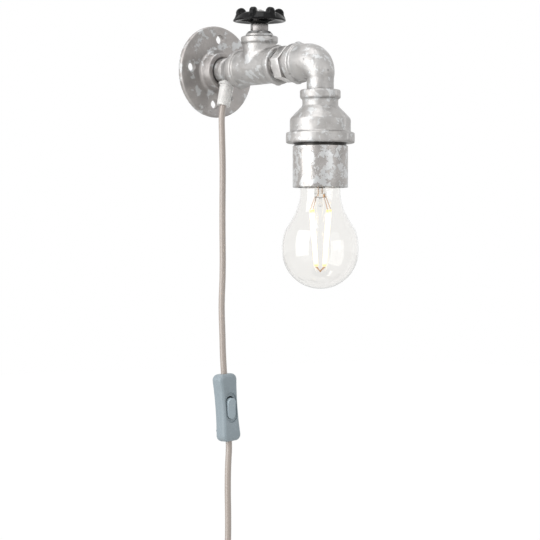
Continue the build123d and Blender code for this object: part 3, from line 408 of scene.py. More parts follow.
def plated(name, base, rough_low, rough_high):
    """Small plated or drawn metal parts."""
    made, tree, shader = new_material(name, Metallic=1.0)
    lines = effect(tree, "Turned Lines", Line_Scale=1800.0)["Lines"]
    smudge = effect(tree, "Handling", Scale=220.0)["Smudge"]
    colour = mix_rgb(tree, smudge, tone(base, 1.0), tone(base, 0.88))
    shade(tree, shader, colour, remap(tree, smudge, 0.0, 1.0, rough_low, rough_high), lines, 0.00002, 0.4)
    return made


def plain_plastic(name, base, rough_low, rough_high, distance=0.00003, **extra):
    """Moulded plastic with its mould's texture and a little handling."""
    made, tree, shader = new_material(name, **extra)
    skin = effect(tree, "Moulded Skin")
    touch = effect(tree, "Handling", Scale=110.0)
    colour = mix_rgb(tree, skin["Shade"], tone(base, 0.95), tone(base, 1.05))
    rough = remap(tree, touch["Smudge"], 0.0, 1.0, rough_low, rough_high)
    shade(tree, shader, colour, rough, skin["Relief"], distance, 0.5)
    return made


def black_gloss():
    made, tree, shader = new_material("black_gloss", Specular_IOR_Level=0.14)
    skin = effect(tree, "Cast Grain", Grain_Scale=500.0, Lump_Scale=140.0)
    touch = effect(tree, "Handling", Scale=90.0)
    dusty = math_node(tree, "MULTIPLY", touch["Dust"], 0.35)
    colour = mix_rgb(tree, dusty, tone(colours().enamel, 1.0), (0.06, 0.06, 0.06, 1.0))
    rough = remap(tree, touch["Smudge"], 0.0, 1.0, 0.06, 0.14)
    shade(tree, shader, colour, rough, skin["Relief"], 0.0002, 0.3)
    return made


def cord_sheath():
    gloss = {"Specular_IOR_Level": 0.7, "Coat_Weight": 0.4, "Coat_Roughness": 0.12}
    return plain_plastic("cord_sheath", colours().sheath, 0.2, 0.3, 0.00002, **gloss)


def rocker_grey():
    """The rocker's plastic, a paler shade than the shells'."""
    return plain_plastic("rocker_grey", [channel * 1.35 for channel in colours().switch], 0.3, 0.42)


def tie_dark():
    made, tree, shader = new_material("tie_dark", Sheen_Weight=0.4)
    weave = cells_at(tree, place_of(tree), 2200.0)
    touch = effect(tree, "Handling", Scale=160.0)
    threads = remap(tree, weave, 0.0, 0.6, 0.0, 1.0)
    colour = mix_rgb(tree, threads, (0.035, 0.035, 0.037, 1.0), (0.012, 0.012, 0.013, 1.0))
    colour = mix_rgb(tree, math_node(tree, "MULTIPLY", touch["Dust"], 0.3), colour, (0.15, 0.14, 0.13, 1.0))
    shade(tree, shader, colour, remap(tree, touch["Smudge"], 0, 1, 0.75, 0.9), weave, 0.0003, 0.7)
    return made


def lamp_glass():
    made, tree, shader = new_material("lamp_glass", Transmission_Weight=1.0, IOR=1.46, Metallic=0.0)
    shader.inputs["Base Color"].default_value = (0.935, 0.928, 0.914, 1.0)
    rough = remap(tree, effect(tree, "Handling", Scale=60.0)["Smudge"], 0, 1, 0.0, 0.015)
    shade(tree, shader, None, rough, noise_at(tree, place_of(tree), 45.0, 1.0), 0.0002, 0.08)
    return made


def cap_insulator():
    made, tree, shader = new_material("cap_insulator", Coat_Weight=0.6, Coat_Roughness=0.05)
    smudge = effect(tree, "Handling", Scale=140.0)["Smudge"]
    colour = mix_rgb(tree, smudge, (0.012, 0.012, 0.02, 1.0), (0.03, 0.03, 0.04, 1.0))
    shade(tree, shader, colour, remap(tree, smudge, 0, 1, 0.1, 0.2), smudge, 0.00004, 0.3)
    return made


def filament():
    """Lit filament: nearly white along its length, yellow at both tips."""
    made, tree, shader = new_material("filament", Emission_Strength=2.2)
    where = place_of(tree)
    beads = noise_at(tree, where, 700.0, 1.0)
    height = add_node(tree, "ShaderNodeSeparateXYZ", {0: where}).outputs["Z"]
    upper = remap(tree, height, -(FILAMENT_TOP + 4.5) * MM, -(FILAMENT_TOP + 1) * MM, 0.0, 1.0)
    lower = remap(tree, height, -(FILAMENT_FOOT - 4) * MM, -(FILAMENT_FOOT - 0.5) * MM, 0.0, 1.0)
    tips = math_node(tree, "MAXIMUM", upper, lower)
    glow = mix_rgb(tree, beads, (1.0, 0.86, 0.58, 1.0), (1.0, 0.95, 0.80, 1.0))
    tree.links.new(mix_rgb(tree, tips, glow, tone(colours().glow, 0.55)), shader.inputs["Emission Color"])
    colour = mix_rgb(tree, beads, (0.85, 0.55, 0.18, 1.0), (0.95, 0.75, 0.3, 1.0))
    shade(tree, shader, colour, remap(tree, beads, 0, 1, 0.4, 0.6), beads, 0.0001, 0.4)
    return made


def grip_clear():
    made, tree, shader = new_material("grip_clear", Transmission_Weight=0.45, IOR=1.45, Metallic=0.0)
    skin = effect(tree, "Moulded Skin", Scale=900.0)
    rough = remap(tree, effect(tree, "Handling", Scale=140.0)["Smudge"], 0, 1, 0.22, 0.34)
    colour = mix_rgb(tree, skin["Shade"], (0.93, 0.92, 0.90, 1.0), (0.98, 0.97, 0.95, 1.0))
    shade(tree, shader, colour, rough, skin["Relief"], 0.00005, 0.4)
    return made


# Small metal parts: colour, lowest and highest roughness
PLATED = {
    "spindle_steel": ((0.36, 0.355, 0.35), 0.2, 0.34), "gland_brass": ((0.30, 0.285, 0.28), 0.24, 0.4),
    "brass": ((0.72, 0.50, 0.22), 0.2, 0.36), "cap_metal": ((0.66, 0.66, 0.65), 0.18, 0.3),
    "pin_metal": ((0.68, 0.67, 0.64), 0.16, 0.28), "lamp_wire": ((0.62, 0.36, 0.18), 0.3, 0.4),
}
# Plain plastics: colour, lowest and highest roughness, and the height of a coarser skin
PLASTICS = {
    "holder_plastic": ((0.02, 0.02, 0.021), 0.3, 0.45), "packing": ((0.03, 0.03, 0.03), 0.6, 0.8, 0.0002),
    "core_brown": ((0.16, 0.07, 0.03), 0.35, 0.5), "core_blue": ((0.03, 0.12, 0.45), 0.35, 0.5),
    "core_white": ((0.6, 0.6, 0.58), 0.35, 0.5), "pin_sleeve": ((0.03, 0.03, 0.03), 0.4, 0.55),
}
FINISHES = {
    "cast_zinc": lambda: galvanised("cast_zinc", colours().casting, 0.42, 150.0, 0.36, 1.0),
    # The flange's finish is darker and browner partly as painted shade of warm bounce light.
    "flange_zinc": lambda: galvanised("flange_zinc", colours().flange, 0.43, 105.0, 0.38, 1.1),
    "switch_grey": lambda: plain_plastic("switch_grey", colours().switch, 0.3, 0.42),
    "plug_grey": lambda: plain_plastic("plug_grey", colours().switch, 0.34, 0.48),
    "hex_zinc": hex_zinc, "bright_steel": bright_steel, "black_gloss": black_gloss,
    "cord_sheath": cord_sheath, "rocker_grey": rocker_grey, "tie_dark": tie_dark, "lamp_glass": lamp_glass,
    "cap_insulator": cap_insulator, "filament": filament, "grip_clear": grip_clear,
}
NODE_SLOTS = {entry["node"]: entry["material_slot"] for entry in frame["record"]["subparts"]}
MADE = {}


def finish_of(slot):
    """The slot's material, made when it is first asked for."""
    if slot not in MADE:
        if slot in PLATED:
            MADE[slot] = plated(slot, *PLATED[slot])
        elif slot in PLASTICS:
            MADE[slot] = plain_plastic(slot, *PLASTICS[slot])
        else:
            MADE[slot] = FINISHES[slot]()
    return MADE[slot]


# Mesh helpers. Shapes are drawn in millimetres in a part's own frame.


def rounded_outline(corners, steps=5):
    """Closed outline of (radius, height) points from (radius, height, rounding) corners."""
    outline = []
    count = len(corners)
    for index, (x, y, rounding) in enumerate(corners):
        here = Vector((x, y))
        if rounding <= 0:
            outline.append(here)
            continue
        back = (Vector(corners[index - 1][:2]) - here).normalized()
        ahead = (Vector(corners[(index + 1) % count][:2]) - here).normalized()
        half = back.angle(ahead) / 2
        reach = rounding / math.tan(half)
        middle = here + (back + ahead).normalized() * (rounding / math.sin(half))
        start = here + back * reach - middle
        finish = here + ahead * reach - middle
        turn = start.angle_signed(finish)
        for step in range(steps + 1):
            cos, sin = math.cos(-turn * step / steps), math.sin(-turn * step / steps)
            outline.append(middle + Vector((start.x * cos - start.y * sin, start.x * sin + start.y * cos)))
    return [(point.x, point.y) for point in outline]


def lathe(outline, segments=None):
    """Closed bmesh turned about Z from a closed outline of (radius, height) points."""
    segments = segments or sizes().segments
    made = bmesh.new()
    rings = []
    for radius, height in outline:
        if radius < 1e-6:
            rings.append([made.verts.new((0, 0, height))])
            continue
        circle = []
        for step in range(segments):
            angle = 2 * math.pi * step / segments
            circle.append(made.verts.new((radius * math.cos(angle), radius * math.sin(angle), height)))
        rings.append(circle)
    for index, here in enumerate(rings):
        other = rings[(index + 1) % len(rings)]
        if len(here) == 1 and len(other) == 1:
            continue
        for step in range(segments):
            after = (step + 1) % segments
            if len(here) == 1:
                made.faces.new((here[0], other[step], other[after]))
            elif len(other) == 1:
                made.faces.new((here[step], other[0], here[after]))
            else:
                made.faces.new((here[step], other[step], other[after], here[after]))
    bmesh.ops.recalc_face_normals(made, faces=made.faces)
    return made


def wall_between(made, rings):
    """Faces between each ring of vertices and the next."""
    for first, second in zip(rings, rings[1:]):
        for index in range(len(first)):
            after = (index + 1) % len(first)
            made.faces.new((first[index], first[after], second[after], second[index]))


def turned(*corners, segments=None):
    """Shape turned about Z from a closed outline of (radius, height, rounding) corners."""
    return lathe(rounded_outline(corners), segments)


def rod(radius, low, high, rounding=0.0, segments=None):
    """Round bar along Z with rounded rims."""
    corners = ((0, low, 0), (radius, low, rounding), (radius, high, rounding), (0, high, 0))
    return turned(*corners, segments=segments)


def ring(outer, inner, low, high):
    """Plain ring about Z."""
    return turned((inner, low, 0), (outer, low, 0), (outer, high, 0), (inner, high, 0))


def block(width, depth, height, centre, rounding):
    """Box with rounded edges."""
    made = bmesh.new()
    bmesh.ops.create_cube(made, size=1.0)
    made.transform(Matrix.Translation(centre) @ Matrix.Diagonal((width, depth, height, 1)))
    bmesh.ops.bevel(made, geom=list(made.edges), offset=rounding, segments=2, profile=0.5, affect="EDGES")
    return made


def prism(points, low, high, rounding):
    """Prism along Z on a plain closed outline, with its end edges rounded."""
    made = bmesh.new()
    bottom = [made.verts.new((x, y, low)) for x, y in points]
    top = [made.verts.new((x, y, high)) for x, y in points]
    ends = [made.faces.new(list(reversed(bottom))), made.faces.new(top)]
    for index in range(len(points)):
        after = (index + 1) % len(points)
        made.faces.new((bottom[index], bottom[after], top[after], top[index]))
    edges = [edge for face in ends for edge in face.edges]
    bmesh.ops.bevel(
        made, geom=edges, offset=rounding, segments=3, profile=0.5, affect="EDGES", clamp_overlap=True,
    )
    return made


def hexagon(across_flats, turn):
    """Outline of a hexagon, by its width across flats and its turn in degrees."""
    radius = across_flats / math.sqrt(3)
    angles = [math.radians(turn + 60 * step) for step in range(6)]
    return [(radius * math.cos(angle), radius * math.sin(angle)) for angle in angles]


def moved(shape, matrix):
    """The shape itself, moved."""
    shape.transform(matrix)
    return shape


def spun(shape, degrees):
    """The shape itself, turned about Z."""
    return moved(shape, Matrix.Rotation(math.radians(degrees), 4, "Z"))


def merged(*shapes):
    """One bmesh from several."""
    whole = bmesh.new()
    for shape in shapes:
        mesh = bpy.data.meshes.new("part")
        shape.to_mesh(mesh)
        shape.free()
        whole.from_mesh(mesh)
        bpy.data.meshes.remove(mesh)
    return whole


def to_object(name, shape, place=None):
    """Object from a bmesh drawn in millimetres, put in its place in metres."""
    if place is not None:
        shape.transform(place @ Matrix.Scale(MM, 4))
    mesh = bpy.data.meshes.new(name)
    shape.to_mesh(mesh)
    shape.free()
    made = bpy.data.objects.new(name, mesh)
    bpy.context.scene.collection.objects.link(made)
    return made


def bake_modifiers(piece):
    """The piece's modifiers made part of its mesh."""
    bpy.context.view_layer.update()
    graph = bpy.context.evaluated_depsgraph_get()
    mesh = bpy.data.meshes.new_from_object(piece.evaluated_get(graph))
    piece.modifiers.clear()
    old = piece.data
    piece.data = mesh
    bpy.data.meshes.remove(old)
    return piece


def combined(name, place, base, add=(), cut=()):
    """One closed object from a base shape, shapes joined to it and shapes cut from it.

    The shapes meet in millimetres, where the solver has room, and the result is put in its place."""
    piece = to_object(name, base)
    tools = []
    for operation, shapes in (("UNION", add), ("DIFFERENCE", cut)):
        for shape, spot in shapes:
            beside = place.inverted() @ spot
            beside.translation /= MM
            tool = to_object(name + "_tool", moved(shape, beside))
            step = piece.modifiers.new("Step", "BOOLEAN")
            step.operation = operation
            step.solver = "MANIFOLD"
            step.object = tool
            tools.append(tool)
    bake_modifiers(piece)
    for tool in tools:
        mesh = tool.data
        bpy.data.objects.remove(tool)
        bpy.data.meshes.remove(mesh)
    piece.data.transform(place @ Matrix.Scale(MM, 4))
    return piece


def cast_skin(piece, softness=4, depth=None, scale=170.0, voxel=None, root=None):
    """Fine even faces, edges softened as sand casting leaves them, and a rough skin.

    Where root gives a point some weight, a corner is smoothed out into a fillet."""
    skin = piece.modifiers.new("Skin", "REMESH")
    skin.mode = "VOXEL"
    skin.voxel_size = voxel or sizes().voxel
    if root:
        bake_modifiers(piece)
        group = piece.vertex_groups.new(name="root")
        for vertex in piece.data.vertices:
            group.add([vertex.index], root(vertex.co / MM), "REPLACE")
        fillet = piece.modifiers.new("Fillet", "SMOOTH")
        fillet.vertex_group = "root"
        fillet.factor = 0.5
        fillet.iterations = 90
    smooth = piece.modifiers.new("Soften", "SMOOTH")
    smooth.factor = 0.5
    smooth.iterations = softness
    bake_modifiers(piece)
    depth = sizes().grain_depth if depth is None else depth
    mesh = piece.data
    moved_points = []
    for vertex in mesh.vertices:
        spot = vertex.co * scale
        rough = noise.noise(spot) * 0.7 + noise.noise(spot * 3.1) * 0.35 + noise.noise(spot * 0.35) * 0.8
        moved_points.extend(vertex.co + vertex.normal * (rough * depth))
    mesh.vertices.foreach_set("co", moved_points)
    mesh.update()
    mesh.shade_smooth()
    return piece


def crisp(piece, angle=32.0, bevel=0.0):
    """Small bevel on the sharp edges and smooth shading between them."""
    if bevel:
        edge = piece.modifiers.new("Edge", "BEVEL")
        edge.width = bevel * MM
        edge.segments = 2
        edge.limit_method = "ANGLE"
        edge.angle_limit = math.radians(angle)
        bake_modifiers(piece)
    piece.data.shade_smooth()
    piece.data.set_sharp_from_angle(angle=math.radians(angle))
    return piece


def dress(piece, *nodes, body="arm", finish=None):
    """Gives a finished piece its material, its body and the nodes that it stands for."""
    slot = NODE_SLOTS[nodes[0]]
    if piece.type == "MESH":
        piece.data.materials.clear()
    piece.data.materials.append(finish_of(finish or slot))
    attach(piece, body)
    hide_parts(*nodes)
    return piece


def node_copy(node, name, bevel=0.0, angle=32.0):
    """Copy of a CAD node's solid with its loose triangles joined and its edges eased."""
    shape = bmesh.new()
    shape.from_mesh(frame["nodes"][node].data)
    bmesh.ops.remove_doubles(shape, verts=shape.verts, dist=2e-6)
    bmesh.ops.dissolve_limit(shape, angle_limit=math.radians(0.4), verts=shape.verts, edges=shape.edges)
    return crisp(to_object(name, shape), angle, bevel)


def dress_copies(*rows, body="arm"):
    """Dressed copies of CAD nodes, by node, piece and, where they matter, eased edge and sharp angle."""
    for node, name, *easing in rows:
        dress(node_copy(node, name, *easing), node, body=body)


# Geometry Nodes


def node_tree(name, inputs):
    """Empty geometry tree with named inputs, those for place and finish at the end, and its end nodes."""
    tree = bpy.data.node_groups.new(name, "GeometryNodeTree")
    tree.is_modifier = True
    tree.interface.new_socket(name="Geometry", in_out="INPUT", socket_type="NodeSocketGeometry")
    tree.interface.new_socket(name="Geometry", in_out="OUTPUT", socket_type="NodeSocketGeometry")
    kinds = {float: "NodeSocketFloat", int: "NodeSocketInt", tuple: "NodeSocketVector"}
    for label, value in {**inputs, "Place": (0.0, 0.0, 0.0), "Tilt": (0.0, 0.0, 0.0)}.items():
        socket = tree.interface.new_socket(name=label, in_out="INPUT", socket_type=kinds[type(value)])
        socket.default_value = value
    tree.interface.new_socket(name="Finish", in_out="INPUT", socket_type="NodeSocketMaterial")
    return tree, tree.nodes.new("NodeGroupInput").outputs, tree.nodes.new("NodeGroupOutput").inputs


def end_tree(tree, given, made, shapes):
    """Ends a tree: its shapes are put in their place, joined to the piece and given their finish."""
    where = {"Geometry": shapes, "Translation": given["Place"], "Rotation": given["Tilt"]}
    placed = add_node(tree, "GeometryNodeTransform", where)
    joined = tree.nodes.new("GeometryNodeJoinGeometry")
    tree.links.new(placed.outputs[0], joined.inputs[0])
    tree.links.new(given["Geometry"], joined.inputs[0])
    real = add_node(tree, "GeometryNodeRealizeInstances", {"Geometry": joined.outputs[0]})
    ended = add_node(
        tree, "GeometryNodeSetMaterial", {"Geometry": real.outputs[0], "Material": given["Finish"]},
    )
    tree.links.new(ended.outputs[0], made["Geometry"])
    return tree


def round_bar(tree, line, radius, faces):
    """A round bar along a curve, with closed ends."""
    section = add_node(tree, "GeometryNodeCurvePrimitiveCircle", {"Resolution": faces, "Radius": radius})
    parts = {"Curve": line.outputs[0], "Profile Curve": section.outputs[0], "Fill Caps": True}
    return add_node(tree, "GeometryNodeCurveToMesh", parts).outputs[0]


def thread_tree():
    """A thread's ridge wound round a barrel along Z, joined to the barrel it is given."""
    inputs = {
        "Radius": 0.01, "Pitch": 0.0018, "Turns": 4.0, "Ridge": 0.0006, "Height": 0.0, "Turn Faces": 64,
    }
    tree, given, made = node_tree("Thread Ridge", inputs)
    path = {
        "Resolution": given["Turn Faces"], "Rotations": given["Turns"], "Start Radius": given["Radius"],
        "End Radius": given["Radius"],
        "Height": math_node(tree, "MULTIPLY", given["Pitch"], given["Turns"]),
    }
    ridge = round_bar(tree, add_node(tree, "GeometryNodeCurveSpiral", path), given["Ridge"], 6)
    lift = add_node(tree, "ShaderNodeCombineXYZ", {"Z": given["Height"]})
    raised = add_node(tree, "GeometryNodeTransform", {"Geometry": ridge, "Translation": lift.outputs[0]})
    return end_tree(tree, given, made, raised.outputs[0])


def stick_tree():
    """Sticks between an upper and a lower ring about Z, evenly turned round it."""
    inputs = {
        "Count": 4, "Top Radius": 0.0096, "Top Height": FILAMENT_TOP * MM,
        "Foot Radius": 0.0046, "Foot Height": FILAMENT_FOOT * MM,
        "Thickness": 0.00095, "Phase": 0.2, "Smooth Faces": 20,
    }
    tree, given, made = node_tree("Ring of Sticks", inputs)
    ends = {}
    for label, end in (("Start", "Top"), ("End", "Foot")):
        corner = {"X": given[end + " Radius"], "Z": given[end + " Height"]}
        ends[label] = add_node(tree, "ShaderNodeCombineXYZ", corner).outputs[0]
    line = add_node(tree, "GeometryNodeCurvePrimitiveLine", ends)
    stick = round_bar(tree, line, given["Thickness"], given["Smooth Faces"])
    spots = add_node(tree, "GeometryNodePoints", {"Count": given["Count"]})
    share = math_node(tree, "DIVIDE", tree.nodes.new("GeometryNodeInputIndex").outputs[0], given["Count"])
    angle = math_node(tree, "ADD", math_node(tree, "MULTIPLY", share, 2 * math.pi), given["Phase"])
    turn = add_node(tree, "ShaderNodeCombineXYZ", {"Z": angle})
    copies = {"Points": spots.outputs[0], "Instance": stick, "Rotation": turn.outputs[0]}
    spread = add_node(tree, "GeometryNodeInstanceOnPoints", copies)
    return end_tree(tree, given, made, spread.outputs[0])


TREES = {"Thread Ridge": thread_tree, "Ring of Sticks": stick_tree}


def grown(piece, name, place, slot, **values):
    """The piece with what a geometry tree grows in a place and in a slot's finish, as a plain mesh."""
    tree = bpy.data.node_groups.get(name) or TREES[name]()
    spot, tilt, _ = place.decompose()
    values.update(Place=tuple(spot), Tilt=tuple(tilt.to_euler()), Finish=finish_of(slot))
    step = piece.modifiers.new("Grow", "NODES")
    step.node_group = tree
    for item in tree.interface.items_tree:
        key = item.name.replace(" ", "_")
        if item.item_type == "SOCKET" and item.in_out == "INPUT" and key in values:
            step[item.identifier] = values[key]
    return bake_modifiers(piece)


def threaded(piece, place, radius, ridge, start, turns, pitch, slot="cast_zinc", turn_faces=64):
    """A barrel with its thread's ridge, radius and heights in millimetres in the part's frame."""
    values = {"Radius": radius * MM, "Ridge": ridge * MM, "Height": start * MM, "Pitch": pitch}
    return grown(piece, "Thread Ridge", place, slot, Turns=float(turns), Turn_Faces=turn_faces, **values)


# Camera and stage


LENS = 140.8
EYE = (-1.110, -1.357, -0.164)
SIGHT = (0.6534, 0.757, 0.0)
LIT_SPOT = (0.0, -0.1, -0.1)
FLOOR_HEIGHT = -0.60
WHITE = (1.0, 1.0, 1.0, 1.0)
# Area lamps: name, place, width, height and power
LAMPS = (
    ("key_lamp", (-1.48, 0.12, 0.22), 1.35, 1.7, 18.0),
    ("fill_lamp", (0.10, -1.60, 0.25), 0.9, 1.1, 2.0),
    ("top_lamp", (-0.35, -0.1, 1.35), 0.8, 0.8, 5.0),
)


def facing(way):
    """Turn of a camera or lamp that looks along a direction."""
    return Vector(way).to_track_quat("-Z", "Y").to_euler()


def seen_by(tree, *rays):
    """One where a camera ray or one of the other named rays meets the shaded point, nought elsewhere."""
    path = add_node(tree, "ShaderNodeLightPath").outputs
    seen = path["Is Camera Ray"]
    for ray in rays:
        seen = math_node(tree, "MAXIMUM", seen, path[ray])
    return seen


class PIPELIGHT_OT_stage(bpy.types.Operator):
    """Camera at the photograph's viewing angle, pale floor, soft lamps and a white surround"""

    bl_idname = "pipelight.stage"
    bl_label = "Stage"

    def execute(self, context):
        scene = context.scene
        camera = bpy.data.cameras.new("Camera")
        camera.lens = LENS
        camera.sensor_width = 36.0
        camera.clip_end = 60.0
        holder = bpy.data.objects.new("Camera", camera)
        holder.location = EYE
        holder.rotation_euler = facing(SIGHT)
        scene.collection.objects.link(holder)
        scene.camera = holder
        scene.view_settings.view_transform = "Standard"
        self.lamps(scene)
        self.surround(scene)
        self.floor()
        return {"FINISHED"}

    def lamps(self, scene):
        """Key from the upper left of the camera, a weaker one from the right and one from above."""
        for name, spot, width, height, power in LAMPS:
            lamp = bpy.data.lights.new(name, "AREA")
            lamp.shape = "RECTANGLE"
            lamp.size = width
            lamp.size_y = height
            lamp.energy = power
            holder = bpy.data.objects.new(name, lamp)
            holder.location = spot
            holder.rotation_euler = facing(Vector(LIT_SPOT) - Vector(spot))
            scene.collection.objects.link(holder)

    def surround(self, scene):
        """White behind the light and in its reflections, dimmer where it lights the light."""
        world = bpy.data.worlds.new("Surround")
        world.use_nodes = True
        tree = world.node_tree
        seen = seen_by(tree, "Is Transmission Ray", "Is Glossy Ray")
        strength = remap(tree, seen, 0.0, 1.0, 0.77, 1.0)
        back = tree.nodes["Background"]
        back.inputs["Color"].default_value = WHITE
        tree.links.new(strength, back.inputs["Strength"])
        scene.world = world

    def floor(self):
        """Pale floor under the light, white where the camera sees it."""
        shape = bmesh.new()
        bmesh.ops.create_grid(shape, x_segments=1, y_segments=1, size=6.0)
        shape.transform(Matrix.Translation((0, 0, FLOOR_HEIGHT)))
        piece = to_object("floor", shape)
        made, tree, shader = new_material("pale_floor", Roughness=0.8)
        mottle = noise_at(tree, place_of(tree), 3.0, 3.0)
        colour = mix_rgb(tree, mottle, (0.68, 0.68, 0.672, 1.0), (0.72, 0.72, 0.712, 1.0))
        tree.links.new(colour, shader.inputs["Base Color"])
        share = math_node(tree, "MULTIPLY", seen_by(tree, "Is Transmission Ray"), 0.91)
        white = add_node(tree, "ShaderNodeEmission", {"Color": WHITE, "Strength": 1.05})
        both = add_node(
            tree, "ShaderNodeMixShader", {"Fac": share, 1: shader.outputs[0], 2: white.outputs[0]},
        )
        tree.links.new(both.outputs[0], tree.nodes["Material Output"].inputs["Surface"])
        piece.data.materials.append(made)


# Cords


COIL_MIDDLE = (0.002, -0.02, -0.465)
COIL_TURNS = 7 + 40 / 360
COIL_FIRST_ANGLE = 140
INSIDE_SWITCH = ("switch_screws", "switch_terminals", "switch_contacts", "switch_cores")


def cord_points_above():
    """Route of the hanging cord, from the grip to the switch."""
    return [
        (-0.006748, -0.0200, -0.029231), (-0.008548, -0.0200, -0.037026), (-0.0079, -0.0199, -0.0520),
        (-0.0073, -0.0203, -0.0800), (-0.0076, -0.0199, -0.1220), (-0.0071, -0.0202, -0.1640),
        (-0.0086, -0.0199, -0.1930), (-0.0076, -0.0201, -0.2160), (-0.006969, -0.0200, -0.236174),
        (-0.005306, -0.0200, -0.254098),
    ]


def cord_points_below():
    """Route from the switch down to the coil."""
    return [
        (-0.001094, -0.0200, -0.299502), (-0.000263, -0.0200, -0.308464), (-0.0016, -0.0202, -0.3220),
        (-0.0019, -0.0199, -0.3430), (-0.0014, -0.0201, -0.3680), (-0.0017, -0.0200, -0.3960),
        (-0.011410, -0.0200, -0.417197), (-0.025551, -0.0200, -0.434050),
    ]


def cord_points_coil():
    """The put-away length: in along the front layer, over, and out along the back one."""
    given = sizes()
    reach = COIL_TURNS / 2
    steps = 16
    count = int(COIL_TURNS * steps)
    widen = 1 / math.cos(math.pi / steps)
    middle_x, front, middle_z = COIL_MIDDLE
    points = []
    for step in range(1, count):
        turn = -reach + COIL_TURNS * step / count
        angle = math.radians(COIL_FIRST_ANGLE + 360 * (turn + reach))
        radius = (given.coil_outer_radius - given.coil_pitch * (reach - abs(turn))) * widen
        share = min(max(2 * turn + 0.5, 0), 1)
        depth = given.coil_pitch * share * share * (3 - 2 * share) + front
        points.append((middle_x + radius * math.cos(angle), depth, middle_z + radius * math.sin(angle)))
    return points


def cord_points_end():
    """Route from the coil to the plug."""
    return [
        (-0.0390, -0.0143, -0.4680), (-0.0390, -0.0143, -0.4810), (-0.0383, -0.0146, -0.4930),
        (-0.0390, -0.0143, -0.5040), (-0.0390, -0.0143, -0.5130),
    ]


def cord_curve(name, points):
    """Smooth round curve with these points as its control points."""
    curve = bpy.data.curves.new(name, "CURVE")
    curve.dimensions = "3D"
    curve.bevel_depth = sizes().cord_diameter / 2
    curve.bevel_resolution = 6
    curve.resolution_u = 8
    curve.use_fill_caps = True
    line = curve.splines.new("NURBS")
    line.points.add(len(points) - 1)
    for spot, point in zip(line.points, points):
        spot.co = (*point, 1.0)
    line.order_u = 3
    line.use_endpoint_u = True
    line.use_smooth = True
    piece = bpy.data.objects.new(name, curve)
    bpy.context.scene.collection.objects.link(piece)
    return piece


class PIPELIGHT_OT_cords(bpy.types.Operator):
    """The hanging cord above the switch, and the length below it with its coil"""

    bl_idname = "pipelight.cords"
    bl_label = "Cords"

    def execute(self, context):
        dress(cord_curve("hanging_cord", cord_points_above()), "cord_upper")
        below = cord_points_below() + cord_points_coil() + cord_points_end()
        dress(cord_curve("coiled_cord", below), "cord_lower", "cord_coil", "cord_tail")
        return {"FINISHED"}


# Arm: flange, nipples, tee and elbow


class PIPELIGHT_OT_flange(bpy.types.Operator):
    """Round wall flange with its hub and four screw holes, and the nipple in it"""

    bl_idname = "pipelight.flange"
    bl_label = "Wall flange"

    def execute(self, context):
        base = turned(
            (TAPPED, 0, 0), (FLANGE, 0, 0), (FLANGE, 4.0, 0.9), (18.0, 4.0, 2.4), (15.25, HUB_TOP, 0.9),
            (12.1, HUB_TOP, 0), (TAPPED, 11.4, 0),
        )
        holes = []
        for step in range(4):
            angle = math.radians(SCREW_TURN + 90 * step)
            middle = (SCREW_CIRCLE * math.cos(angle), SCREW_CIRCLE * math.sin(angle), 0)
            hole = moved(rod(3.5, -1, 6, segments=40), Matrix.Translation(middle))
            holes.append((hole, ARM))
        piece = combined("flange_casting", ARM, base, cut=holes)
        dress(cast_skin(piece, 3), "wall_flange", finish="flange_zinc")
        barrel = turned(
            (BORE, 1, 0), (10.2, 1, 0.4), (10.2, HUB_TOP, 0), (PIPE, HUB_TOP, 0), (PIPE, 19.0, 0.5),
            (THREAD, 19.6, 0.3), (THREAD, 42.9, 0.4), (BORE, 42.9, 0),
        )
        tapped = rod(4.95, 0, 14, segments=32)
        nipple = combined("nipple_barrel", ARM, barrel, cut=[(tapped, GRIP)])
        threaded(nipple, ARM, THREAD + 0.05, 0.62, 19.8, 7.0, sizes().pipe_thread_pitch)
        dress(crisp(nipple, 40), "flange_nipple")
        return {"FINISHED"}


def mouth(low, outward):
    """Countersink cutter at a tapped mouth."""
    outer, inner = low + outward, low - 1.45 * outward
    return turned((0, outer, 0), (12.9, outer, 0), (10.3, inner, 0), (0, inner, 0))


def bead_lugs(radius, low, high):
    """Two casting lugs across a bead."""
    return block(3.4, 2 * (radius + 0.9), high - low - 2.9, (0, 0, (low + high) / 2 + 0.05), 0.6)


